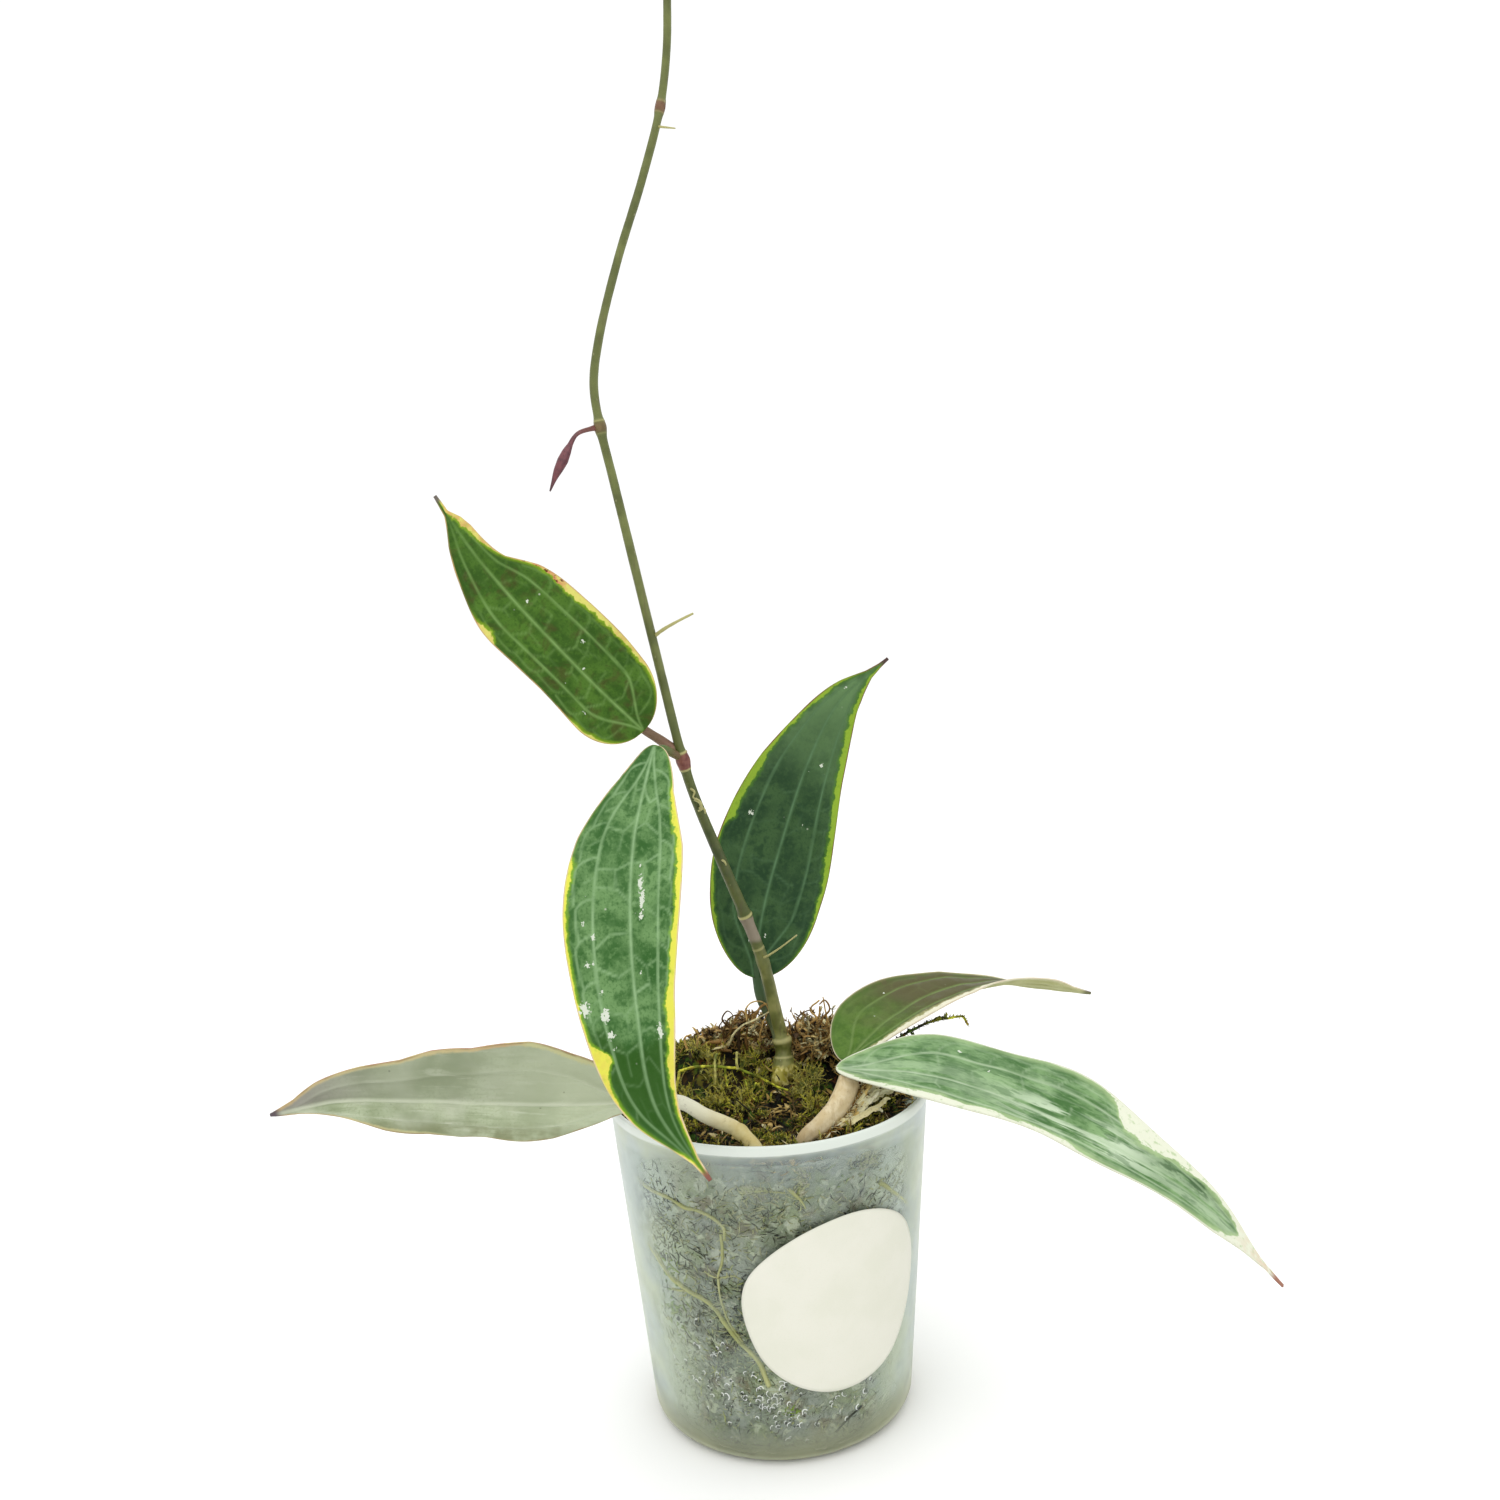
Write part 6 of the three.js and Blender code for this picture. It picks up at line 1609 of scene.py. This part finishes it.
    # painted highlight: a white arc on the lit side of each drop's rim; painted shade: a dark edge
    # round the drop, for the light its rim bends away
    arc = p.times(p.times(p.step(out, 0.2, 0.45), p.step(out, 0.7, 0.9, 1, 0)), lit)
    dark = p.step(out, 0.66, 0.9, 0, 0.85)
    p.set(Base_Color=p.blend(arc, (36, 40, 34), (0.95, 0.97, 0.94, 1)),
          Alpha=p.maths("MAXIMUM", p.maths("MAXIMUM", arc, dark), CLEAR_ALPHA))
    batch.build("mix_droplets", p.material, "potting_mix")


WALL_ROOTS = [
    ([(-61.5, 90), (-50.7, 88.7), (-41.5, 88.5), (-34, 86.8), (-26.8, 86.4), (-22.4, 84.7),
      (-19, 81.7), (-19.2, 78)], 0.65, 0.5),
    ([(-20.5, 80), (-20.8, 71.3), (-23.1, 64.9), (-23.1, 58), (-20.5, 49.6), (-14.2, 41.5)], 0.5,
     0.34),
    ([(-60, 68), (-52.9, 63.8), (-46, 59.7), (-37.6, 57.5), (-28.8, 55.3), (-22.5, 49.4),
      (-16.8, 43.1), (-10.3, 37.6), (-6, 28)], 0.75, 0.85),
    ([(-37.6, 57.5), (-42, 56.5), (-47, 55.5)], 0.4, 0.3),
    ([(-29, 66), (-24, 64.5), (-17, 66), (-14, 65)], 0.3, 0.2),
    ([(-12.1, 94.6), (-7.3, 95.2), (-1.8, 94.8), (3.8, 94)], 0.4, 0.25),
    ([(5, 95), (8.5, 92), (11, 88)], 0.7, 0.25),
    ([(42, 90), (60, 77), (78, 64), (94, 48), (104, 30)], 0.8, 0.5),
    ([(150, 86), (170, 70), (186, 52), (196, 34), (200, 18)], 0.9, 0.5),
    ([(-104, 84), (-118, 66), (-136, 48), (-150, 28)], 0.85, 0.5),
    ([(-118, 66), (-108, 54), (-104, 42)], 0.45, 0.3),
    ([(186, 52), (172, 44), (164, 30)], 0.5, 0.3),
]


def make_roots():
    r = draws(151)
    batch = Batch()
    for course, start, end in WALL_ROOTS:
        turns, levels = np.array(course, float).T
        line = Course(at_wall(turns, levels, -0.45))
        t = np.linspace(0, 1, int(line.length / 0.8) + 6)
        points = line.at(t)
        flat = np.hypot(points[:, 0], points[:, 1])
        points[:, :2] *= ((clear(points[:, 2]) - 0.4) / flat)[:, None]
        points = points + 0.2 * jitter(points, 3, 1)
        radius = (start + (end - start) * t) * (1 + 0.18 * noise(points, 2, 5))
        tube(batch, points, radius, sides=10, tone=0.65 + 0.25 * noise(points, 6, 8))
        hairs = int(line.length * 0.9)
        at = line.at(r.random(hairs))
        level = np.column_stack([-at[:, 1], at[:, 0],
                                 0 * at[:, 0]]) / 48 * r.normal(size=(hairs, 1))
        way = unit(level + [0, 0, 1] * r.normal(size=(hairs, 1)))
        strands(batch, bent_paths(at, way, r.uniform(1, 4, hairs), 0.2, 5, r),
                0.14 * np.linspace(1, 0.5, 5)[None], tone=0.8)
    crown = [([6.5, 14, 88], [6, 10, 82], [4, 4, 80]),
             ([5.4, 8, 81.5], [-14, -18, 88], [-20, -38, 90])]
    for course in crown:
        line = Course(course)
        t = np.linspace(0, 1, 30)
        tube(batch, line.at(t), 1.6 - 0.6 * t, sides=10, tone=0.6)
    p = Paint("root_skin", 0.6, 0.35)
    base = p.ramp(p.value("tone"),
                  [(0.0, (124, 118, 66)), (0.5, (176, 180, 108)), (1.0, (222, 224, 164))])
    base = p.cover(base, (112, 120, 58), 0.52, 0.7, 2.2, 3, 0.4)
    batch.build("root_threads", p.coat(base, 0.7, 2, 0.08, 0.6), "roots")


make_mix()
make_roots()

# ---------------------------------------------------------------- side stem, husk and young leaf


def make_side_stem():
    course = Course([[7, -35, 92], [10, -34.6, 104], [16, -31, 107.5], [22, -25, 111],
                     [26.8, -17, 117]])
    t = np.linspace(0, 1, 90)
    points = course.at(t)
    radius = evenly([1.9, 2.1, 2.9, 3.6, 3.9], t) * (1 + 0.04 * noise(points, 4, 3))
    radius = radius * np.sqrt(np.clip((1.004 - t) / 0.05, 0.05, 1))
    batch = Batch()
    tube(batch, points, radius, sides=34, thin=0.6, face=(0.3, -0.9, 0.3),
         section=ridged(0.03, 7, 11), run=t)
    p = Paint("side_stem_bark", 0.6, 0.3)
    base = p.cover((226, 204, 156), (244, 228, 188), 0.35, 0.65, 5, 3)
    base = p.cover(base, (190, 160, 112), 0.5, 0.68, 1.2, 3, 0.35, stretch=(1, 0.5, 0.25))
    base = p.blend(p.step(p.value("run"), 0.3, 0.55, 0.4, 0), base, (158, 128, 78))
    base = p.cover(base, (128, 92, 56), 0.62, 0.72, 0.8, 2, 0.25)
    batch.build("side_stem_bark", p.coat(base, 0.9, 3, 0.15, 0.8, stretch=(1, 0.6, 0.3)),
                "side_stem")


STRIP_DEPTH, HUSK_FACE = 0.22, np.array([0.3, -0.8, 0.5])


def ribbon(batch, course, wide, seed, tone, curl=0.4):
    """A thin ragged strip along a course."""
    line = Course(course)
    rows, columns = int(14 + 2.6 * line.length), 9
    t = np.linspace(0, 1, rows)
    centre, along = line.at(t), line.along(t)
    across = unit(np.cross(along, HUSK_FACE))
    out = np.cross(across, along)
    v = np.linspace(-1, 1, columns)
    ragged = 1 + 0.55 * noise(np.column_stack([t * line.length, 0 * t, 0 * t + seed]), 1.6, seed)
    other = 1 + 0.55 * noise(np.column_stack([t * line.length, 0 * t, 0 * t - seed]), 1.3, seed + 5)
    taper = wide * (1 - 0.5 * t) * np.sqrt(np.clip((1.02 - t) / 0.15, 0, 1))
    width = np.where(v[None] < 0, (taper * ragged)[:, None], (taper * other)[:, None]) * v[None]
    flat = np.stack([np.repeat(t[:, None] * line.length, columns, 1), width, 0 * width + seed], -1)
    lift = curl * width**2 / max(wide, 0.1) + 0.3 * noise(flat, 2.0, seed)
    top = centre[:, None] + across[:, None] * width[..., None] + out[:, None] * lift[..., None]
    under = top - STRIP_DEPTH * out[:, None]
    sheet(batch, top, under, tone=tone)


def make_husk():
    r = draws(83)
    batch = Batch()
    edge = [[14, -32.6, 103.6], [17, -31.6, 104.8], [21, -28.6, 106.2], [24.6, -25.4, 108],
            [28.2, -21.5, 111], [30.6, -17.6, 114.5]]
    # course, half width, seed and tone of each strip
    strips = [
        (edge, 1.2, 3, 0.42),
        ([[24.4, -25.4, 107.6], [30, -23, 110.2], [35, -19.5, 111.8], [40, -16.5, 111.4]], 1.9, 7,
         0.85),
        ([[20.8, -28.6, 106], [27, -27.5, 107], [33, -24, 108.6], [38, -21, 110.6]], 1.3, 13, 0.75),
        ([[27.3, -21.5, 110.4], [31, -20, 112.4], [34.2, -18, 114], [36.4, -16.4, 115.4]], 1.2, 19,
         0.9),
        ([[31, -22.6, 110.2], [33.5, -22.5, 112], [35, -22, 113.4]], 0.7, 23, 0.95),
    ]
    for strip in strips:
        ribbon(batch, *strip)
    line = Course(edge)
    for k, s in enumerate(np.linspace(0.3, 0.97, 12)):
        start = line.at(s) + [0.6, 0, 0]
        along = line.along(s) * r.uniform(0.2, 1)
        way = unit(along + [r.uniform(0.3, 1.1), 0, r.uniform(-0.1, 0.7)])
        reach = r.uniform(2.2, 5.5)
        sag = [0, r.uniform(-0.6, 0.2), r.uniform(-1, 0.6)]
        ribbon(batch, [start, start + 0.5 * reach * way + sag, start + reach * way],
               r.uniform(0.45, 1.1), 31 + 2 * k, r.uniform(0.55, 1), curl=0.8)
    frayed = [[38, -17.6, 111.6], [35, -20, 111.4], [31, -22, 109.8], [33, -24, 108.4],
              [36, -22, 110], [34, -18.4, 113.6], [30, -20.6, 111.8], [28, -24, 109.4]]
    for k, start in enumerate(frayed):
        way = unit(np.array([1, 0.3, 0.15 + 0.25 * (k % 3)]) + 0.35 * r.normal(size=3))
        reach = r.uniform(2.6, 4.6)
        ribbon(batch, [start, start + 0.5 * reach * way + [0, 0, 0.5], start + reach * way],
               r.uniform(0.6, 1.1), 71 + 2 * k, r.uniform(0.8, 1), curl=0.8)
    count = 300
    s = r.random(count)
    at = line.at(s) + r.normal(0, 0.75, (count, 3)) + [0.7, 0, 0]
    way = unit(0.9 * line.along(s) + 0.8 * r.normal(size=at.shape))
    shape = np.array([0.3, 0.9, 1, 0.8, 0.2])[None]
    paths = bent_paths(at, way, r.uniform(0.8, 2.6, count), 0.6, 5, r)
    strands(batch, paths, r.uniform(0.16, 0.42, count)[:, None] * shape, sides=4, thin=0.5,
            tone=np.clip(r.normal(0.45, 0.3, count), 0, 1)[:, None])
    p = Paint("husk_paper", 0.75, 0.25)
    base = p.ramp(p.value("tone"),
                  [(0.0, (70, 46, 18)), (0.35, (160, 116, 44)), (0.6, (232, 204, 128)),
                   (0.8, (255, 248, 196)), (1.0, (255, 253, 222))])
    base = p.cover(base, (140, 92, 36), 0.58, 0.66, 1.0, 3, 0.45)
    batch.build("husk_strips", p.coat(base, 0.5, 3, 0.08, 0.8), "dry_husk")


def make_young_leaf():
    course = Course([[-41.2, -8.4, 324], [-46.8, -13, 322], [-49.3, -15, 318.2],
                     [-51.4, -17, 313.9], [-53.4, -18, 310.1], [-55.4, -19, 305.4]])
    t = np.linspace(0, 1, 110)
    points = course.at(t)
    radius = np.interp(t, [0, 0.1, 0.3, 0.42, 0.52, 0.63, 0.75, 0.88, 1],
                       [1.0, 0.75, 0.65, 0.85, 1.45, 1.75, 1.4, 0.7, 0.25])
    batch = Batch()

    def section(turn):
        return 1 - 0.24 * bell(turn, 1.6, 0.35) + 0.03 * np.cos(5 * turn)

    tube(batch, points, radius, sides=26, thin=0.7, face=(-0.3, -0.9, 0.1), section=section, run=t)
    p = Paint("young_leaf_skin", 0.4, 0.5)
    base = p.cover((88, 34, 46), (124, 60, 66), 0.35, 0.65, 3, 3)
    base = p.cover(base, (72, 30, 38), 0.5, 0.68, 0.9, 2, 0.55, stretch=(1, 1, 0.3))
    base = p.blend(p.step(p.value("run"), 0.86, 1.0, 0, 0.8), base, (58, 26, 32))
    base = p.blend(p.step(p.value("run"), 0.1, 0.45, 0.7, 0), base, (128, 76, 62))
    batch.build("young_leaf_fold", p.coat(base, 0.6, 2, 0.08, 0.6, stretch=(1, 1, 0.3)),
                "young_leaf")


make_side_stem()
make_husk()
make_young_leaf()

# ---------------------------------------------------------------- stage


FLOOR_HALF, SKY = 12.0, 1.07  # half the floor's side in metres and the strength of the sky


def make_stage():
    mesh = bpy.data.meshes.new("floor")
    corners = [(a * FLOOR_HALF, b * FLOOR_HALF, 0) for a, b in ((-1, -1), (1, -1), (1, 1), (-1, 1))]
    mesh.from_pydata(corners, [], [(0, 1, 2, 3)])
    floor = bpy.data.objects.new("floor", mesh)
    scene.collection.objects.link(floor)
    p = Paint("floor", 0.9, 0.1)
    p.set(Base_Color=p.blend(p.noise(300, 2), (0.96, 0.96, 0.955, 1), (0.97, 0.97, 0.965, 1)))
    mesh.materials.append(p.material)
    world = bpy.data.worlds.new("studio")
    world.use_nodes = True
    background = world.node_tree.nodes["Background"]
    background.inputs["Color"].default_value = (1, 1, 1, 1)
    background.inputs["Strength"].default_value = SKY
    scene.world = world

    def lamp(name, place, aim, size, power):
        data = bpy.data.lights.new(name, "AREA")
        data.shape = "SQUARE"
        data.size = size
        data.energy = power
        light = bpy.data.objects.new(name, data)
        light.location = place
        light.rotation_euler = (Vector(aim) - Vector(place)).to_track_quat("-Z", "Y").to_euler()
        scene.collection.objects.link(light)

    lamp("key", (-0.4, -1.0, 1.6), (0, 0, 0.15), 2.2, 8)
    lamp("top", (0.2, 0.2, 1.7), (0, 0, 0.15), 1.2, 6)
    scene.view_settings.view_transform = "Standard"


make_stage()
